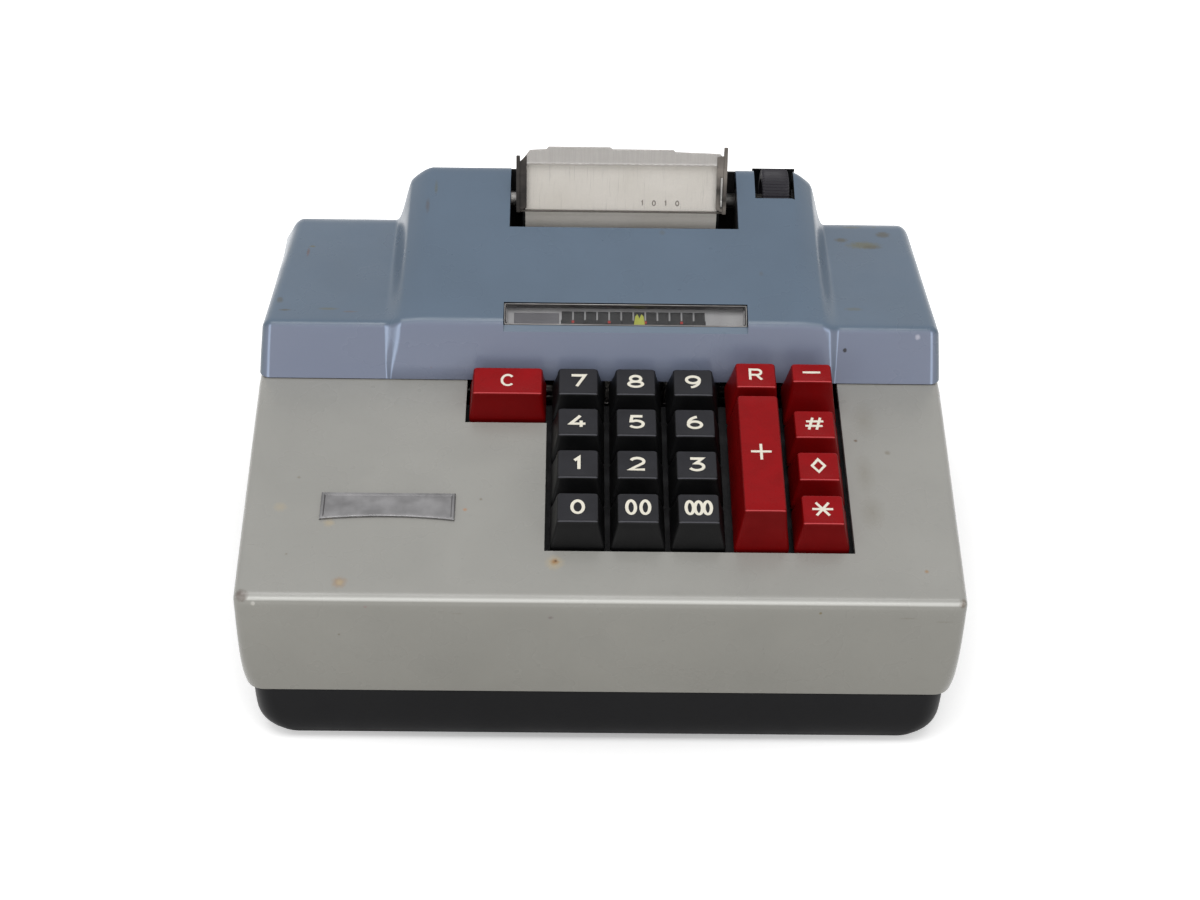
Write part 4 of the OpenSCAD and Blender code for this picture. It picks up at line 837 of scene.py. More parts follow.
def side_view(share, t):
    """Strip, slope, crest and back of the cover, for a share of the tower's height, moved in by t."""
    corners = inset_view([Vector(a).lerp(Vector(b), share) for a, b in zip(shoulder_view, tower_view)], t)
    front = bend(*corners[:3], max(0.5, 2.2 - 0.6 * t), 6)
    crest = bend(*corners[1:], max(0.6, 5 - 0.8 * t), 8)
    strip = [corners[0].lerp(front[0], k / 6) for k in range(6)]
    slope = [front[-1].lerp(crest[0], k) for k in (0.02, 0.05, 0.09, 0.3, 0.6, 0.85)]
    return strip + front + slope + crest + [crest[-1].lerp(corners[3], 0.5), corners[3]]


def smooth(value, low, high):
    """0 below low, 1 above high, and a soft step between."""
    k = min(1.0, max(0.0, (value - low) / (high - low)))
    return k * k * (3 - 2 * k)


def proud(x, y, z):
    """How far the middle of the front strip stands forward."""
    rise = smooth(z, COVER_FOOT, SHOULDER)
    left = smooth(x, -75.9 - 0.7 * rise, -74.1 + 4.2 * rise)
    right = smooth(x, 83.3 + 0.6 * rise, 81.7 - 1.6 * rise)
    up = smooth(z, COVER_FOOT, COVER_FOOT + 3)
    return PROUD * up * left * right * (1 - smooth(y, DECK_END + 7.5, DECK_END + 13))


def lean(x, y, z):
    """The shoulders' ends lean in a little, more at the back than at the front."""
    out = max(0.0, (abs(x - TOWER_X) - TOWER_HALF - FLANK) / (HALF_WIDTH - TOWER_HALF - FLANK))
    back = min(1.0, max(0.0, (y - DECK_END) / (SHOULDER_BACK - DECK_END)))
    up = max(0.0, (z - COVER_FOOT) / SHOULDER_RISE)
    return x * (1 - out * up * (LEAN_FRONT + LEAN_BACK * back) / HALF_WIDTH)


print("points in a side view", len(side_view(0, 0)))

# %% Blue cover
FLANK_BEND, FLANK_DROP = 1.6, 0.62
FLANK_STEPS = [-0.12, -0.06, -0.02, 0, 0.03, 0.06, 0.1, 0.15, 0.2, 0.27, 0.34, 0.41, 0.48]
FLANK_STEPS += [0.52 + 0.02 * i for i in range(24)] + [1]
BEYOND = [0.4, 0.8, 1.3, 1.9, 2.6, 3.6, 5.0, 8.0, 14.0, 22.0]


def tower_share(k):
    """How much of the tower's height is left at a share of the flank's width, from the crest outward."""
    fall = FLANK_DROP * max(0.0, k) ** FLANK_BEND
    return (1 - fall) * (1 - smooth(k, 0.52, 0.98))


def half_stations(side, t):
    """Stations from one end to the tower: (across, share of the tower's height, further inset)."""
    turns = [math.radians(10 * step) for step in range(10)]
    ends = [(side * (HALF_WIDTH - t - END_RADIUS * (1 - math.cos(a))), 0, END_RADIUS * (1 - math.sin(a)))
            for a in turns]
    foot = TOWER_HALF + FLANK - t
    flat = [(TOWER_X + side * (foot + more), 0, 0) for more in reversed(BEYOND)]
    flank = [(TOWER_X + side * (TOWER_HALF - 0.6 * t + k * (FLANK - 0.4 * t)), tower_share(k), 0)
             for k in reversed(FLANK_STEPS)]
    return ends + flat + flank


def cover_rings(t, foot):
    """Side views of the cover at every station, moved in by t, down to the foot's height."""
    middle = [(TOWER_X + x, 1, 0) for x in (-45, -25, 0, 25, 45)]
    rings = []
    for x, share, more in half_stations(-1, t) + middle + list(reversed(half_stations(1, t))):
        view = side_view(share, t + more)
        ring = []
        for i, (y, z) in enumerate(view):
            if i in (0, len(view) - 1):
                z = foot
            ring.append(row(lean(x, y, z), y - proud(x, y, z), z))
        rings.append(ring)
    return rings


COVER_GAP = 0.45
cover = new_piece("blue_cover", *loft(cover_rings(0, COVER_FOOT + COVER_GAP)))
carve(cover, new_piece("inside", *loft(cover_rings(WALL, COVER_FOOT - 1))))
NOTCH_FRONT, NOTCH_BACK = 148.0, 168.0
for front, foot in ((NOTCH_FRONT, SHOULDER + 2), (NOTCH_BACK, COVER_FOOT - 1)):
    carve(cover, tool_of(block((NOTCH_LEFT, front, foot), (NOTCH_RIGHT, CASE_DEPTH, foot + 60))))
wheel_low, wheel_high = box_mm("thumbwheel")
PLATEN_Y = (wheel_low.y + wheel_high.y) / 2 + HALF_DEPTH
PLATEN_Z = (wheel_low.z + wheel_high.z) / 2
WHEEL_RADIUS = (wheel_high.z - wheel_low.z) / 2
SLOT_LEFT, SLOT_RIGHT, SLOT_ROOM = 2.8, 1.9, 0.6


def around_platen(along, radius, angle):
    return row(along, PLATEN_Y + radius * math.cos(angle), PLATEN_Z + radius * math.sin(angle))


slot = [(wheel_low.x - SLOT_LEFT, WHEEL_RADIUS + SLOT_ROOM), (wheel_high.x + SLOT_RIGHT, WHEEL_RADIUS + SLOT_ROOM)]
carve(cover, tool_of(spun(slot, around_platen, 72)))
WINDOW_X, WINDOW_WIDTH, WINDOW_HEIGHT = 8.6, 86.0, 8.8
WINDOW_LOW = Vector((DECK_END + 5.9, SHOULDER - 0.4))
WINDOW_HIGH = Vector((DECK_END + 14.0, SHOULDER + 4.1))
window_turn = math.atan2(WINDOW_HIGH.y - WINDOW_LOW.y, WINDOW_HIGH.x - WINDOW_LOW.x)


def on_window(x, v, above=0.0):
    """A place on the window: across from its middle, up its slope, and above the glass."""
    middle = (WINDOW_LOW + WINDOW_HIGH) / 2
    c, s = math.cos(window_turn), math.sin(window_turn)
    return row(WINDOW_X + x, middle.x + v * c - above * s, middle.y + v * s + above * c)


half_w, half_h = WINDOW_WIDTH / 2, WINDOW_HEIGHT / 2
carve(cover, tool_of(block((-half_w, -half_h, -5), (half_w, half_h, 15), on_window)))
carve(cover, tool_of(block((-half_w, -WINDOW_HEIGHT, 0), (half_w, 0, 15), on_window)))


def inside_cover(centre, normal):
    """Faces inside the cover: its ceiling, walls that look to the middle, and the walls of the wheel's slot."""
    away = centre.x - TOWER_X
    in_wall = normal.x * away < -0.3 * abs(away) and abs(away) > TOWER_HALF - 4
    arm_y, arm_z = centre.y + HALF_DEPTH - PLATEN_Y, centre.z - PLATEN_Z
    near_slot = slot[0][0] - 0.1 < centre.x < slot[1][0] + 0.1 and math.hypot(arm_y, arm_z) < WHEEL_RADIUS + 0.8
    in_slot = near_slot and normal.y * arm_y + normal.z * arm_z < 1
    return normal.z < -0.15 or in_wall or in_slot or (centre.y + HALF_DEPTH < DECK_END + 6 and normal.y > 0.5)


# The cover's inside and the walls of the wheel's slot take painted shade.
line_inside(cover, cover_paint, painted_shade_lining, inside_cover)
dress(cover, "case", cover_paint, ["rear_cover"], sharp=32, bevel=0.3)


# %% [markdown]
# Seen through the gaps beside the paper, the inside of the cover is black: its lining is painted shade, and a dark
# cheek at each side of the notch, more painted shade, shuts off the view into the roll's well. A narrow web behind
# each arm and a curved guard behind the thumbwheel do the same for the gaps that reach up to the crest.

# %% Cheeks of the paper notch
# Cheeks, webs and the wheel guard are dark pieces that paint shade where the inside would lie in shadow.
CHEEK, CHEEK_FRONT, CHEEK_END = 1.2, NOTCH_FRONT + 1.5, CASE_DEPTH - 6.5
cheek_outline = [(CHEEK_FRONT, SHOULDER - 4), (CHEEK_FRONT, SHOULDER + 10.5), (172, SHOULDER + 18.3),
                 (182, SHOULDER + 11.5), (CHEEK_END, COVER_FOOT - 20), (CHEEK_END, COVER_FOOT - 20.5),
                 (176, COVER_FOOT - 12)]
cheeks = [loft([[row(at, y, z) for y, z in cheek_outline] for at in (x, x + CHEEK)])
          for x in (NOTCH_LEFT - CHEEK, NOTCH_RIGHT)]
WEB_Y, WEB_LOW, WEB_HIGH, ARM_THICK = 178.7, 86.0, SHOULDER + 21.2, 1.4
paper_low, paper_high = box_mm("paper_strip")
webs = [block((x0, WEB_Y, WEB_LOW), (x1, WEB_Y + 1, WEB_HIGH))
        for x0, x1 in ((NOTCH_LEFT, paper_low.x - ARM_THICK), (paper_high.x + ARM_THICK, NOTCH_RIGHT))]
dress(new_piece("notch_cheeks", *merged(*cheeks, *webs)), "case", painted_shade_lining)
GUARD_FROM, GUARD_TO, GUARD_STEPS = -50, 40, 12
GUARD_LEFT, GUARD_RIGHT = slot[0][0], slot[1][0] + 1.3
GUARD_IN, GUARD_OUT = WHEEL_RADIUS + 0.5, WHEEL_RADIUS + 0.9
guard_section = [(GUARD_LEFT, GUARD_IN), (GUARD_RIGHT, GUARD_IN),
                 (GUARD_RIGHT, GUARD_OUT), (GUARD_LEFT, GUARD_OUT)]
guard_turns = [math.radians(GUARD_FROM + (GUARD_TO - GUARD_FROM) * i / GUARD_STEPS)
               for i in range(GUARD_STEPS + 1)]
guard_rings = [[around_platen(x, r, a) for x, r in guard_section] for a in guard_turns]
dress(new_piece("wheel_guard", *loft(guard_rings)), "case", painted_shade_lining)

# %% [markdown]
# A key cap is a loft of rounded rectangles: straight tapering sides, a small rounded rim, and a dished top that
# keeps the finger in place. The dish is a formula, so the figure can be laid on the same surface. A figure is one
# or more strokes of even width, as an engraver's cutter leaves them, each drawn along a path of arcs and lines.

# %% Key caps
def rounded_rectangle(width, depth, radius, steps=4, sides=3):
    """Points round a rectangle with rounded corners, with a few more along each side."""
    ring = []
    corners = [(1, 1, 0), (-1, 1, 90), (-1, -1, 180), (1, -1, 270)]
    for n, (sx, sy, start) in enumerate(corners):
        cx, cy = sx * (width / 2 - radius), sy * (depth / 2 - radius)
        turns = [math.radians(start + 90 * i / steps) for i in range(steps + 1)]
        ring += [(cx + radius * math.cos(a), cy + radius * math.sin(a)) for a in turns]
        nx, ny, next_start = corners[(n + 1) % 4]
        end = (nx * (width / 2 - radius) + radius * math.cos(math.radians(next_start)),
               ny * (depth / 2 - radius) + radius * math.sin(math.radians(next_start)))
        begin, shares = ring[-1], [k / (sides + 1) for k in range(1, sides + 1)]
        ring += [(begin[0] + (end[0] - begin[0]) * k, begin[1] + (end[1] - begin[1]) * k) for k in shares]
    return ring


SKIRT, SKIRT_TOP, BOW = 2.0, 0.2, 0.25
RIM_DROP, RIM_IN, CAP_STEPS = 1.1, 0.7, 5
EDGE_RADIUS, TOP_RADIUS = 1.1, 0.8
DISH = 0.45


class Cap:
    """One key cap: its place on the deck, its base, its top, its height, and how far its top lies off centre."""

    def __init__(self, x, u, base, top, shift=0.0, height=10.0, side=0.0):
        self.x, self.u, self.base, self.top = x, u, base, top
        self.side, self.shift, self.height = side, shift, height

    def surface(self, x, y):
        """Height of the dished top at a place measured from the middle of the top."""
        a, b = self.top[0] / 2 - RIM_IN, self.top[1] / 2 - RIM_IN
        inside = max(0.0, 1 - (x / a) ** 2) * max(0.0, 1 - (y / b) ** 2)
        return self.height - DISH * inside

    def place(self, x, y, z):
        return on_deck(self.x + x, self.u + y, z)

    def rings(self):
        """Rings of (width, depth, share of the way up, height): skirt, sides, rim, and then the dish."""
        base_w, base_d = self.base
        top_w, top_d = self.top
        layers = [(base_w, base_d, 0.0, -SKIRT), (base_w, base_d, 0.0, -SKIRT_TOP)]
        for k in (0.02, 0.35, 0.7, 1.0):
            bow = BOW * math.sin(math.pi * k)
            layers.append((base_w + (top_w - base_w) * k - bow, base_d + (top_d - base_d) * k - bow, k,
                           (self.height - RIM_DROP) * k))
        for step in range(1, CAP_STEPS + 1):
            a = math.radians(90 * step / CAP_STEPS)
            e = RIM_IN * (1 - math.cos(a))
            layers.append((top_w - 2 * e, top_d - 2 * e, 1.0, self.height - RIM_DROP * (1 - math.sin(a))))
        rings = [[self.place(x + self.side * k, y + self.shift * k, z)
                  for x, y in rounded_rectangle(w, d, EDGE_RADIUS)] for w, d, k, z in layers]
        outline = rounded_rectangle(top_w - 2 * RIM_IN, top_d - 2 * RIM_IN, TOP_RADIUS)
        for k in (0.86, 0.7, 0.52, 0.34, 0.16, 0.03):
            rings.append([self.place(x * k + self.side, y * k + self.shift, self.surface(x * k, y * k))
                          for x, y in outline])
        return rings


print("rim", RIM_IN, "mm in, dish", DISH, "mm deep")


# %% Figures as strokes
def arc(cx, cy, rx, ry, start, end, steps):
    turns = [math.radians(start + (end - start) * i / steps) for i in range(steps + 1)]
    return [(cx + rx * math.cos(a), cy + ry * math.sin(a)) for a in turns]


SIX = [arc(0.5, -0.3, 1.4, 1.3, 98, 172, 10), arc(0, -0.4, 0.9, 0.6, 90, 450, 26)]
FIGURES = {
    "0": [arc(0, 0, 0.84, 1, 90, 450, 30)],
    "1": [[(-0.45, 0.52), (0.14, 1), (0.14, -1)]],
    "2": [arc(0, 0.42, 0.88, 0.58, 160, -30, 14) + [(-0.95, -1), (1, -1)]],
    "3": [[(-0.85, 1), (0.74, 1), (-0.12, 0.24)] + arc(-0.02, -0.37, 0.94, 0.63, 72, -155, 16)],
    "4": [[(0.3, 1), (-1, -0.42), (1, -0.42)], [(0.42, 0.15), (0.42, -1)]],
    "5": [[(0.82, 1), (-0.62, 1), (-0.74, 0.12)] + arc(-0.02, -0.38, 0.94, 0.62, 122, -150, 16)],
    "6": SIX,
    "7": [[(-0.94, 1), (0.92, 1), (-0.2, -1)]],
    "8": [arc(0, 0.5, 0.72, 0.5, -90, 270, 24), arc(0, -0.5, 0.96, 0.5, 90, 450, 26)],
    "9": [[(-x, -y) for x, y in stroke] for stroke in SIX],
    "C": [arc(0, 0, 0.95, 1, 42, 318, 26)],
    "R": [[(-0.82, -1), (-0.82, 1)] + arc(0.22, 0.5, 0.6, 0.5, 90, -90, 12) + [(-0.8, 0)], [(0.1, 0), (0.88, -1)]],
    "minus": [[(-1, 0), (1, 0)]],
    "plus": [[(-1, 0), (1, 0)], [(0, 1), (0, -1)]],
    "hash": [[(-0.64, -1), (-0.16, 1)], [(0.2, -1), (0.68, 1)], [(-1, -0.38), (0.88, -0.38)],
             [(-0.88, 0.38), (1, 0.38)]],
    "diamond": [[(0, 1), (0.95, 0), (0, -1), (-0.95, 0), (0, 1)]],
    "star": [[(-1, 0), (1, 0)], [(-0.62, -1), (0.62, 1)], [(-0.62, 1), (0.62, -1)]],
}


def stroke_solid(path, width, place, low, high):
    """A closed ribbon of even width along a path. place(x, y, above) puts a point; low and high are its faces."""
    closed = math.dist(path[0], path[-1]) < 1e-6
    spots = [Vector(p) for p in (path[:-1] if closed else path)]
    count = len(spots)
    sides = []
    for i, here in enumerate(spots):
        ways = []
        if closed or i > 0:
            ways.append((here - spots[i - 1]).normalized())
        if closed or i < count - 1:
            ways.append((spots[(i + 1) % count] - here).normalized())
        across = [Vector((-w.y, w.x)) for w in ways]
        mean = sum(across, Vector((0, 0))).normalized()
        reach = width / 2 / max(0.4, mean.dot(across[0]))
        sides.append((here + mean * reach, here - mean * reach))
    rings = [[place(a.x, a.y, low), place(b.x, b.y, low), place(b.x, b.y, high), place(a.x, a.y, high)]
             for a, b in sides]
    return loft(rings + rings[:1], capped=False) if closed else loft(rings)


def figure(name, width, height, stroke, place, centre=(0.0, 0.0), low=-0.15, high=0.05):
    """A figure of that outer size, in mm, laid on a surface."""
    solids = []
    for n, path in enumerate(FIGURES[name]):
        sized = [(centre[0] + x * (width - stroke) / 2, centre[1] + y * (height - stroke) / 2) for x, y in path]
        solids.append(stroke_solid(sized, stroke, place, low, high + 0.006 * n))
    return merged(*solids)


print("figures", len(FIGURES))

# %% [markdown]
# The keyboard: ten figures and two zero bars in black, the function keys in red. The repeat, minus and plus keys
# stand taller. Each cap keeps its stem, a flat blade with a round tip that runs in the guide plates below.

# %% Keys
STROKE = 1.08
FIGURE_SIZE = (6.1, 6.4)
STEM = (5.0, 2.0)
STEM_PIN = 1.2
SHOULDER_DEPTH, TIP_DEPTH = 17.0, 31.0
BLACK_TOP, TALL = (14.0, 13.2), 14.8
LETTER_STROKE, FIGURE_RISE = 0.9, 0.4
SQUARE, PLUS_LENGTH = (KEY_BASE, KEY_BASE), 2 * ROW_PITCH + KEY_BASE


def key_piece(name, cap, marks, plastic, stems=(0.0,), stroke=STROKE):
    """Builds one key. marks are (figure, width, height, across) on its top, stems their places in depth."""
    body_parts = [loft(cap.rings())]
    half_w, half_d = STEM[0] / 2, STEM[1] / 2
    turns = [2 * math.pi * i / 16 for i in range(16)]
    for s in stems:
        blade = block((-half_w, s - half_d, -SHOULDER_DEPTH), (half_w, s + half_d, -1.0), cap.place)
        pin = loft([[cap.place(STEM_PIN * math.cos(a), s + STEM_PIN * math.sin(a), z) for a in turns]
                    for z in (-TIP_DEPTH, -SHOULDER_DEPTH + 1)])
        body_parts += [blade, pin]
    points, faces = merged(*body_parts)
    plastic_faces = len(faces)

    def on_top(x, y, above):
        return cap.place(x + cap.side, y + cap.shift, cap.surface(x, y) + above)
    figures = [figure(f, w, h, stroke, on_top, (across, FIGURE_RISE)) for f, w, h, across in marks]
    piece = new_piece("cap_" + name, *merged((points, faces), *figures), welded=False)
    piece.data.materials.append(plastic)
    piece.data.materials.append(key_figure)
    for i, polygon in enumerate(piece.data.polygons):
        polygon.material_index = int(i >= plastic_faces)
    return dress(piece, "key_" + name, plastic, ["key_" + name], sharp=48)


def row_u(line):
    return FIRST_ROW + ROW_PITCH * line


columns = [KEY_X["1"], KEY_X["2"], KEY_X["3"]]
for digit in range(1, 10):
    line, column = divmod(digit - 1, 3)
    cap = Cap(columns[column], row_u(line + 1), SQUARE, BLACK_TOP)
    key_piece(str(digit), cap, [(str(digit), *FIGURE_SIZE, 0.0)], key_black)
zero_bars = {"0": [("0", 5.6, 6.5, 0.0)], "00": [("0", 4.5, 6.9, -2.35), ("0", 4.5, 6.9, 2.35)],
             "000": [("0", 4.0, 6.7, x) for x in (-2.95, 0.0, 2.95)]}
for x, (name, marks) in zip(columns, zero_bars.items()):
    key_piece(name, Cap(x, row_u(0), SQUARE, BLACK_TOP), marks, key_black)

PLUS_STEM = ROW_PITCH - 8
reds = {
    "clear": (Cap(KEY_X["clear"], row_u(3), (CLEAR_WIDTH, KEY_BASE), (24.3, 13.2)), "C", 5.2, 6.0),
    "repeat": (Cap(KEY_X["plus"], row_u(3), SQUARE, (14, 12.2), -1.0, TALL, 0.5), "R", 5.6, 5.9),
    "minus": (Cap(KEY_X["hash"], row_u(3), SQUARE, (14, 9.2), 0.4, TALL), "minus", 7.0, 2.0),
    "plus": (Cap(KEY_X["plus"], row_u(1), (KEY_BASE, PLUS_LENGTH), (14, PLUS_LENGTH - 3.8), 1.7, TALL, 0.5),
             "plus", 7.8, 8.2),
    "hash": (Cap(KEY_X["hash"], row_u(2), SQUARE, BLACK_TOP), "hash", 7.2, 6.6),
    "diamond": (Cap(KEY_X["hash"], row_u(1), SQUARE, BLACK_TOP), "diamond", 5.4, 6.6),
    "star": (Cap(KEY_X["hash"], row_u(0), SQUARE, BLACK_TOP), "star", 7.8, 6.6),
}
for name, (cap, *mark) in reds.items():
    stems = (-PLUS_STEM, PLUS_STEM) if name == "plus" else (0.0,)
    key_piece(name, cap, [(*mark, 0.0)], key_red, stems, LETTER_STROKE)
print("19 keys")


# %% [markdown]
# A small cast plate sits on the deck at the left. It is bare here: a raised rim round a sunk, brushed field, with
# a gently arched lower edge.

# %% Badge plate
BADGE_WIDTH, BADGE_DEPTH, BADGE_THICK = 45.0, 12.0, 1.1
BADGE_X, BADGE_U = -71.4, 40.2
BADGE_ARCH, BADGE_STEPS = 1.5, 18


def badge_ring(shrink, above):
    """An outline of the plate, moved in by shrink, at a height above the deck."""
    half_w, half_d = BADGE_WIDTH / 2 - shrink, BADGE_DEPTH / 2 - shrink
    shares = [1 - 2 * i / BADGE_STEPS for i in range(BADGE_STEPS + 1)]
    ring = [(half_w * k, half_d) for k in shares]
    ring += [(-half_w * k, -half_d + BADGE_ARCH * (1 - k * k)) for k in shares]
    return [on_deck(BADGE_X + x, BADGE_U + y, above) for x, y in ring]


levels = [(0.0, 0.02), (0.0, BADGE_THICK - 0.3), (0.3, BADGE_THICK), (1.0, BADGE_THICK),
          (1.35, BADGE_THICK - 0.45), (2.4, BADGE_THICK - 0.5)]
dress(new_piece("badge", *loft([badge_ring(*level) for level in levels])), "case", badge_metal,
      ["badge_plate"], sharp=40)

# %% [markdown]
# The column indicator is a slit window: a thin bright frame, a clear lens, and behind it a pale tray with a strip
# of twelve black cells. Pale lines part the cells, a red dot marks every third one, and a yellow-green pointer on
# the carriage shows how many figures have been keyed.

# %% Column indicator
WINDOW_RADIUS = 0.4


def window_ring(shrink, above):
    ring = rounded_rectangle(WINDOW_WIDTH - 2 * shrink, WINDOW_HEIGHT - 2 * shrink, WINDOW_RADIUS, 3, 1)
    return [on_window(x, y, above) for x, y in ring]


bezel_levels = [(0.12, -2.0), (0.12, 0.1), (0.3, 0.22), (0.55, 0.18), (0.8, -0.3), (0.9, -2.0), (0.12, -2.0)]
dress(new_piece("bezel", *loft([window_ring(*level) for level in bezel_levels], capped=False)), "case",
      bezel_metal, ["window_bezel"], sharp=40)
lens_levels = [(0.95, -1.6), (0.95, -0.75), (1.1, -0.6)]
dress(new_piece("lens", *loft([window_ring(*level) for level in lens_levels])), "case", lens_plastic,
      ["window_lens"], sharp=40)

PLACES, PLACE_PITCH, POINTER_PLACE = 12, 4.27, 6.5
pointer_low, pointer_high = box_mm("indicator_pointer")
POINTER_X = (pointer_low.x + pointer_high.x) / 2
FLAG_X = POINTER_X - WINDOW_X
cell_edges = [FLAG_X + (i - POINTER_PLACE) * PLACE_PITCH for i in range(PLACES + 1)]
TRAY, TRAY_HALF = -3.7, 42.8
tray_parts = [block((-TRAY_HALF, -3.5, TRAY - 1), (TRAY_HALF, 4.9, TRAY), on_window)]
tray_parts += [block((x, -2.3, TRAY), (x + 1, 3.4, -2.0), on_window) for x in (-TRAY_HALF, TRAY_HALF - 1)]
dress(new_piece("indicator_tray", *merged(*tray_parts)), "case", scale_grey, ["indicator_scale"],
      bevel=0.1)
# A flat darker patch paints the shade in the trough left of the cells.
trough = block((3.4 - TRAY_HALF, -2.0, TRAY), (cell_edges[0] - 0.6, 2.4, TRAY + 0.05), on_window)
dress(new_piece("indicator_trough_shade", *trough), "case", trough_shade_grey)
STRIP_LOW, STRIP_HIGH, HALF_LINE, HALF_DOT = -2.5, 3.0, 0.3, 0.5
strip = [block((left + HALF_LINE, STRIP_LOW, TRAY), (left + PLACE_PITCH - HALF_LINE, STRIP_HIGH, TRAY + 0.35),
               on_window) for left in cell_edges[:-1]]
dress(new_piece("indicator_cells", *merged(*strip)), "case", scale_black, bevel=0.08)
base_strip = block((cell_edges[0], STRIP_LOW - 0.2, TRAY), (cell_edges[-1], STRIP_LOW + 2.2, TRAY + 0.2),
                   on_window)
dress(new_piece("indicator_band", *base_strip), "case", scale_black)
dots = [block((x - HALF_DOT, STRIP_LOW + 0.9, TRAY), (x + HALF_DOT, STRIP_LOW + 1.9, TRAY + 0.4), on_window)
        for x in cell_edges[1:-1:3]]
dress(new_piece("indicator_dots", *merged(*dots)), "case", scale_red, bevel=0.1)

flag = [(-2.0, -2.6), (2.0, -2.6), (1.5, 1.0), (0.7, 1.9), (0.0, 0.2), (-0.7, 1.9), (-1.5, 1.0)]
flag_part = loft([[on_window(FLAG_X + x, y, above) for x, y in flag] for above in (-3.15, -2.65)])
STEM_FRONT, STEM_HALF = DECK_END + 9.0, 1.5
stem_part, lug_part = (block((POINTER_X - STEM_HALF, STEM_FRONT, pointer_low.z),
                             (POINTER_X + STEM_HALF, STEM_FRONT + thick, top))
                       for thick, top in ((0.8, SHOULDER - 2), (1.3, pointer_low.z + 5)))
dress(new_piece("pointer", *merged(flag_part, stem_part, lug_part)), "carriage", pointer_paint,
      ["indicator_pointer"], bevel=0.12)

# %% [markdown]
# The thumbwheel feeds the paper by hand. Its rim is crowned and finely ridged for grip. It is spun about the
# platen's axis, with a ripple round the rim that fades out on the faces.

# %% Thumbwheel
RIDGES = 60
RIDGE_DEPTH = 0.5


def ridged(along, radius, angle):
    """A place on the wheel, with ridges that fade out below the rim."""
    near_rim = smooth(radius, WHEEL_RADIUS - 1.2, WHEEL_RADIUS - 0.5)
    return around_platen(along, radius - near_rim * RIDGE_DEPTH * (0.5 - 0.5 * math.cos(RIDGES * angle)), angle)


HUB_DEPTH = WHEEL_RADIUS - 3.0
wheel_face = [(1.5, HUB_DEPTH), (1.5, 4.2), (0, 3.6), (0, 1.0), (0.3, 0.35), (1.1, 0.05), (3, 0)]
wheel_profile = [(wheel_low.x + into, WHEEL_RADIUS - down) for into, down in wheel_face]
wheel_profile += [(wheel_high.x - into, WHEEL_RADIUS - down) for into, down in reversed(wheel_face)]
wheel = spun(wheel_profile, ridged, RIDGES * 6, closed=True)
dress(new_piece("feed_wheel", *wheel), "platen", wheel_plastic, ["thumbwheel"], sharp=40)

# %% [markdown]
# Paper comes off the top of the roll, passes under the platen, climbs its front and stands up behind the tear
# shield. It is one thin curved sheet with a slightly ragged edge where the last strip was torn off. The roll is
# wound paper, so its ends show fine rings.

# %% Paper
roll_low, roll_high = box_mm("paper_roll")
ROLL_RADIUS = (roll_high.z - roll_low.z) / 2
ROLL_Y, ROLL_Z = (roll_high.y + roll_low.y) / 2 + HALF_DEPTH, (roll_high.z + roll_low.z) / 2
PLATEN_RADIUS, WRAP_STEPS, SHEET_STEPS = 13.0, 40, 70
LEAVE = math.radians(167)
LEAVE_LENGTH = 18.1
SHEET_UP = Vector((math.cos(LEAVE - math.pi / 2), math.sin(LEAVE - math.pi / 2)))
SHEET_NEAR, SHEET_FAR = 0.45, 0.6
random.seed(7)


def round_platen(radius, angle):
    """Depth and height of a point round the platen's axis."""
    return Vector((PLATEN_Y + radius * math.cos(angle), PLATEN_Z + radius * math.sin(angle)))


def paper_path(gap, tear):
    """Depth and height along the paper at a gap from the platen. tear is how much is missing at the top."""
    apart = Vector((PLATEN_Y - ROLL_Y, PLATEN_Z - ROLL_Z))
    turn = math.atan2(apart.y, apart.x) + math.asin((PLATEN_RADIUS + ROLL_RADIUS + 0.8) / apart.length)
    lift = ROLL_RADIUS + 1.1 - gap
    path = [Vector((ROLL_Y + lift * math.sin(turn), ROLL_Z - lift * math.cos(turn)))]
    first = turn + math.pi / 2
    path += [round_platen(PLATEN_RADIUS + gap, first + (LEAVE - first) * i / WRAP_STEPS)
             for i in range(WRAP_STEPS + 1)]
    return path + [path[-1] + SHEET_UP * (LEAVE_LENGTH - tear) * k / 6 for k in range(1, 7)]


across = [paper_low.x + (paper_high.x - paper_low.x) * i / SHEET_STEPS for i in range(SHEET_STEPS + 1)]
tears = [0.25 + 0.2 * math.sin(i * 2.3) + 0.2 * random.random() for i in range(SHEET_STEPS + 1)]
paper_rings = []
for x, tear in zip(across, tears):
    near, far = paper_path(SHEET_NEAR, tear), paper_path(SHEET_FAR, tear)
    paper_rings.append([row(x, p.x, p.y) for p in near + list(reversed(far))])
dress(new_piece("paper_web", *loft(paper_rings)), "case", paper, ["paper_strip"], sharp=60)


def around_roll(along, radius, angle):
    return row(along, ROLL_Y + radius * math.cos(angle), ROLL_Z + radius * math.sin(angle))


CORE_RADIUS, TURNS_SHOWN = 6.1, 34
steps = [(CORE_RADIUS + (ROLL_RADIUS - CORE_RADIUS) * k / TURNS_SHOWN, 0.12 * (k % 2) + 0.1 * random.random())
         for k in range(TURNS_SHOWN + 1)]
roll_profile = [(roll_low.x + dip, radius) for radius, dip in steps]
roll_profile += [(roll_high.x - dip, radius) for radius, dip in reversed(steps)]
dress(new_piece("wound_paper", *spun(roll_profile, around_roll, 64, closed=True)), "paper_roll", paper_edge,
      ["paper_roll"], sharp=50)


# %% [markdown]
# A few faint figures are left near the fold, the end of a column printed before the photograph was taken. They
# are plain noughts and ones at the machine's own pitch, in pale ink.

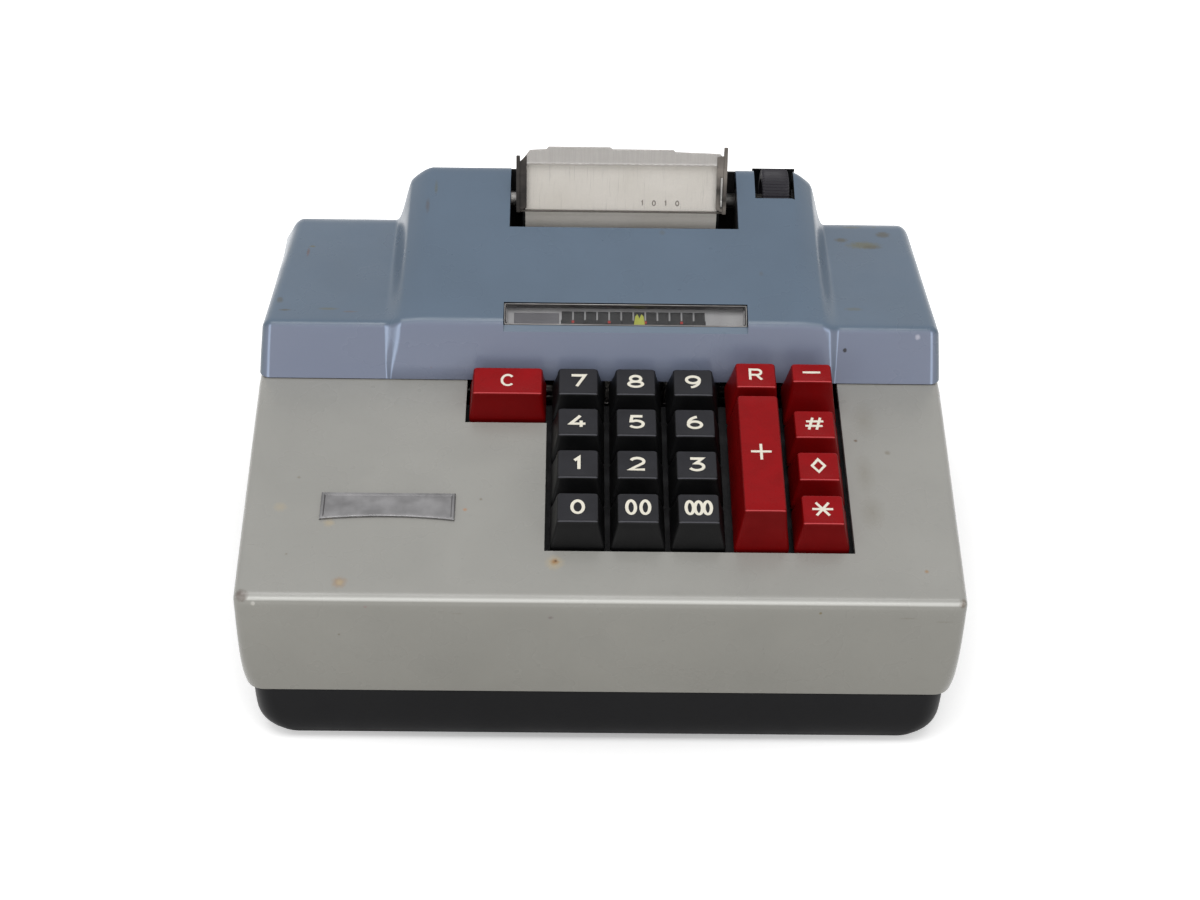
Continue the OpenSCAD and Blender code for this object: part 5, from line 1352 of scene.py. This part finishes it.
# %% Faint print
def on_sheet(x, y, above):
    """A place on the standing paper: across, up the sheet from where it leaves the platen, and off its face."""
    spot = round_platen(PLATEN_RADIUS + SHEET_FAR + above, LEAVE) + SHEET_UP * y
    return row(x, spot.x, spot.y)


PRINT_X, PRINT_UP, PRINT_WIDTH, PRINT_HEIGHT, PRINT_STROKE = 15.0, 3.2, 1.7, 2.2, 0.42
printed = [figure(name, PRINT_WIDTH, PRINT_HEIGHT, PRINT_STROKE, on_sheet, (PRINT_X + i * PLACE_PITCH, PRINT_UP),
                  -0.02, 0.03) for i, name in enumerate("1010")]
dress(new_piece("faint_figures", *merged(*printed)), "case", print_ink)

# %% [markdown]
# The tear shield is a clear plate held between two bent steel arms that swing on the platen's shaft. Each arm is a
# flat side plate with a narrow lip folded round the plate's end. A little spring clip grips the paper's edge.

# %% Tear shield and arms
shield_low, shield_high = box_mm("tear_shield")
SHIELD_GAP = 1.2
SHIELD_LENGTH, SHIELD_THICK, SHIELD_END = 25.0, 1.2, 0.05


def on_shield(x, up, out):
    """A place on the shield: across, up from its foot, and out from its inner face."""
    spot = round_platen(PLATEN_RADIUS + SHIELD_GAP + out, LEAVE) + SHEET_UP * up
    return row(x, spot.x, spot.y)


TOP_STEPS = [(0.0, 7.6), (1.0, 5.2), (3.4, 1.9), (9.4, 1.5), (10.2, 0.6), (32.6, 0.6), (33.4, 1.3), (55.4, 1.3),
             (56.2, 2.1), (63.0, 2.3), (72.4, 2.6), (73.7, 4.0)]
FOOT_EDGE, plate_left, plate_right = 0.5, shield_low.x + SHIELD_END, shield_high.x - SHIELD_END
plate_outline = [(plate_right, FOOT_EDGE), (plate_left, FOOT_EDGE)]
plate_outline += [(plate_left + along, SHIELD_LENGTH - missing) for along, missing in TOP_STEPS]
plate = loft([[on_shield(x, up, out) for x, up in plate_outline] for out in (0, SHIELD_THICK)])
dress(new_piece("shield_plate", *plate), "shield", shield_plastic, ["tear_shield"], bevel=0.25)
# A thin dark strip along the plate's foot paints the shadow there.
foot_shadow_strip = block((plate_left, 0, 0), (plate_right, FOOT_EDGE, SHIELD_THICK), on_shield)
dress(new_piece("shield_foot", *foot_shadow_strip), "shield", painted_foot_shadow)
HUB, LIP = 5.2, 2.4


def arm(x, inward, tip):
    """A side plate round the shaft, with a lip folded inward along the shield's end. tip is its height, 0 to 1."""
    outline = [round_platen(HUB, math.radians(a)) for a in range(170, 361, 15)]
    top = SHIELD_LENGTH - 4 + 4 * tip
    edge = [(SHIELD_LENGTH - 7, -2.6), (top, 0.4), (top, 1.5), (SHIELD_LENGTH - 6, 1.7), (-0.2, 1.7)]
    side = loft([[row(at, p.x, p.y) for p in outline] + [on_shield(at, up, out) for up, out in edge]
                 for at in (x, x + ARM_THICK)])
    inner = x + ARM_THICK if inward > 0 else x
    lip_end = inner + inward * LIP
    lip = [(inner, 0.6), (lip_end, 1.6), (lip_end, SHIELD_LENGTH - 3.5), (inner, SHIELD_LENGTH - 6.0 + 3 * tip)]
    folded = loft([[on_shield(at, up, SHIELD_THICK + out) for at, up in lip] for out in (0.08, 0.6)])
    return side, folded


arm_low, arm_high = box_mm("shield_arms")
left_arm = arm(arm_low.x, 1, 0.0)
right_arm = arm(arm_high.x - ARM_THICK, -1, 0.96)
SHAFT_BORE = 3.05
bore = [(arm_low.x - 1, SHAFT_BORE), (arm_high.x + 1, SHAFT_BORE)]
# The left arm takes the darker copy of the metal, painted shade.
for name, parts, look, stands_for in (("left", left_arm, shaded_arm_metal, ()),
                                      ("right", right_arm, arm_metal, ["shield_arms"])):
    plate = new_piece("arm_" + name, *parts[0])
    carve(plate, tool_of(spun(bore, around_platen, 32)))
    dress(plate, "shield", look, stands_for, bevel=0.2)
    dress(new_piece("lip_" + name, *parts[1]), "shield", look, bevel=0.12)


def wire(places, radius):
    """A bent wire through some places that lie about in one upright plane."""
    across_way = Vector((1, 0, 0))
    turns = [math.radians(36 * k) for k in range(10)]
    rings = []
    for i, here in enumerate(places):
        way = (places[min(i + 1, len(places) - 1)] - places[max(i - 1, 0)]).normalized()
        other = way.cross(across_way)
        rings.append([here + (across_way * math.cos(a) + other * math.sin(a)) * radius for a in turns])
    return loft(rings)


clip_x = arm_high.x - ARM_THICK - 0.6
loop = [math.radians(a) for a in range(-60, 241, 20)]
clip_path = [on_shield(clip_x, 4.0 + 1.5 * math.sin(a), SHIELD_THICK + 1.3 + 0.6 * math.cos(a)) for a in loop]
clip_path += [on_shield(clip_x, 7.5, SHIELD_THICK + 1.1), on_shield(clip_x, 14.0, SHIELD_THICK + 1.0)]
dress(new_piece("paper_clip_wire", *wire(clip_path, 0.4)), "shield", steel)

# %% [markdown]
# The machine stands on a pale floor in soft studio light. The main light is large and high in front. A long strip
# in front lights the thin bright line along the deck's rounded edge, and a tall box at each side the upright
# glints on the cover's corners; both are painted into the paint as highlights as well. The world and the floor
# look white to the camera and in reflections, and are dimmer as lamps.

# %% Floor, world and lights
FLOOR_HALF = 3.0


def seen_directly(tree):
    """1 for rays from the camera and in reflections and clear plastic, and 0 for light that lands elsewhere."""
    rays = node(tree, "ShaderNodeLightPath").outputs
    seen = math_node(tree, "MAXIMUM", rays["Is Camera Ray"], rays["Is Glossy Ray"])
    return math_node(tree, "MAXIMUM", seen, rays["Is Transmission Ray"])


floor_points = [Vector((x, y, 0)) * FLOOR_HALF / MM for x, y in ((-1, -1), (1, -1), (1, 1), (-1, 1))]
floor = new_piece("floor", floor_points, [(0, 1, 2, 3)])
floor_paint, floor_tree, floor_shader, floor_place = finish("floor_paint", Roughness=0.9)
floor_shader.inputs["Specular IOR Level"].default_value = 0.0
seen = seen_directly(floor_tree)
BOUNCE, PALE = (0.42, 0.4, 0.34, 1), (0.9, 0.9, 0.9, 1)
floor_tree.links.new(mix(floor_tree, seen, BOUNCE, PALE), floor_shader.inputs["Base Color"])
floor_shader.inputs["Emission Color"].default_value = (1, 1, 1, 1)
from_middle = vector_math(floor_tree, "LENGTH", floor_place, output="Value")
glow = ranged(floor_tree, from_middle, 0.11, 0.28, 0.27, 0.85)
floor_tree.links.new(math_node(floor_tree, "MULTIPLY", seen, glow), floor_shader.inputs["Emission Strength"])
floor.data.materials.append(floor_paint)

world = bpy.data.worlds.new("studio")
bpy.context.scene.world = world
world.use_nodes = True
sky = world.node_tree
AMBIENT = 0.5
sky.links.new(ranged(sky, seen_directly(sky), 0, 1, AMBIENT, 1.0), sky.nodes["Background"].inputs["Strength"])
sky.nodes["Background"].inputs["Color"].default_value = (1, 1, 1, 1)
LIGHT_AIM = Vector((0, 0, 0.06))


def softbox(name, place, size, watts):
    """A rectangular light in metres, turned to face the machine."""
    lamp = bpy.data.lights.new(name, "AREA")
    lamp.shape = "RECTANGLE"
    lamp.size, lamp.size_y = size
    lamp.energy = watts
    box = bpy.data.objects.new(name, lamp)
    box.location = place
    box.rotation_euler = (LIGHT_AIM - Vector(place)).to_track_quat("-Z", "Y").to_euler()
    bpy.context.scene.collection.objects.link(box)


softbox("key_light", (-0.1, -0.45, 1.5), (1.1, 0.8), 11)
softbox("front_strip", (0, -1.35, 1.1), (1.1, 0.08), 2.6)
softbox("left_box", (-0.69, -1.18, 0.22), (0.1, 0.36), 0.9)
softbox("right_box", (0.72, -1.17, 0.22), (0.1, 0.36), 0.9)
bpy.context.scene.view_settings.view_transform = "Standard"
print("floor, world and four lights")
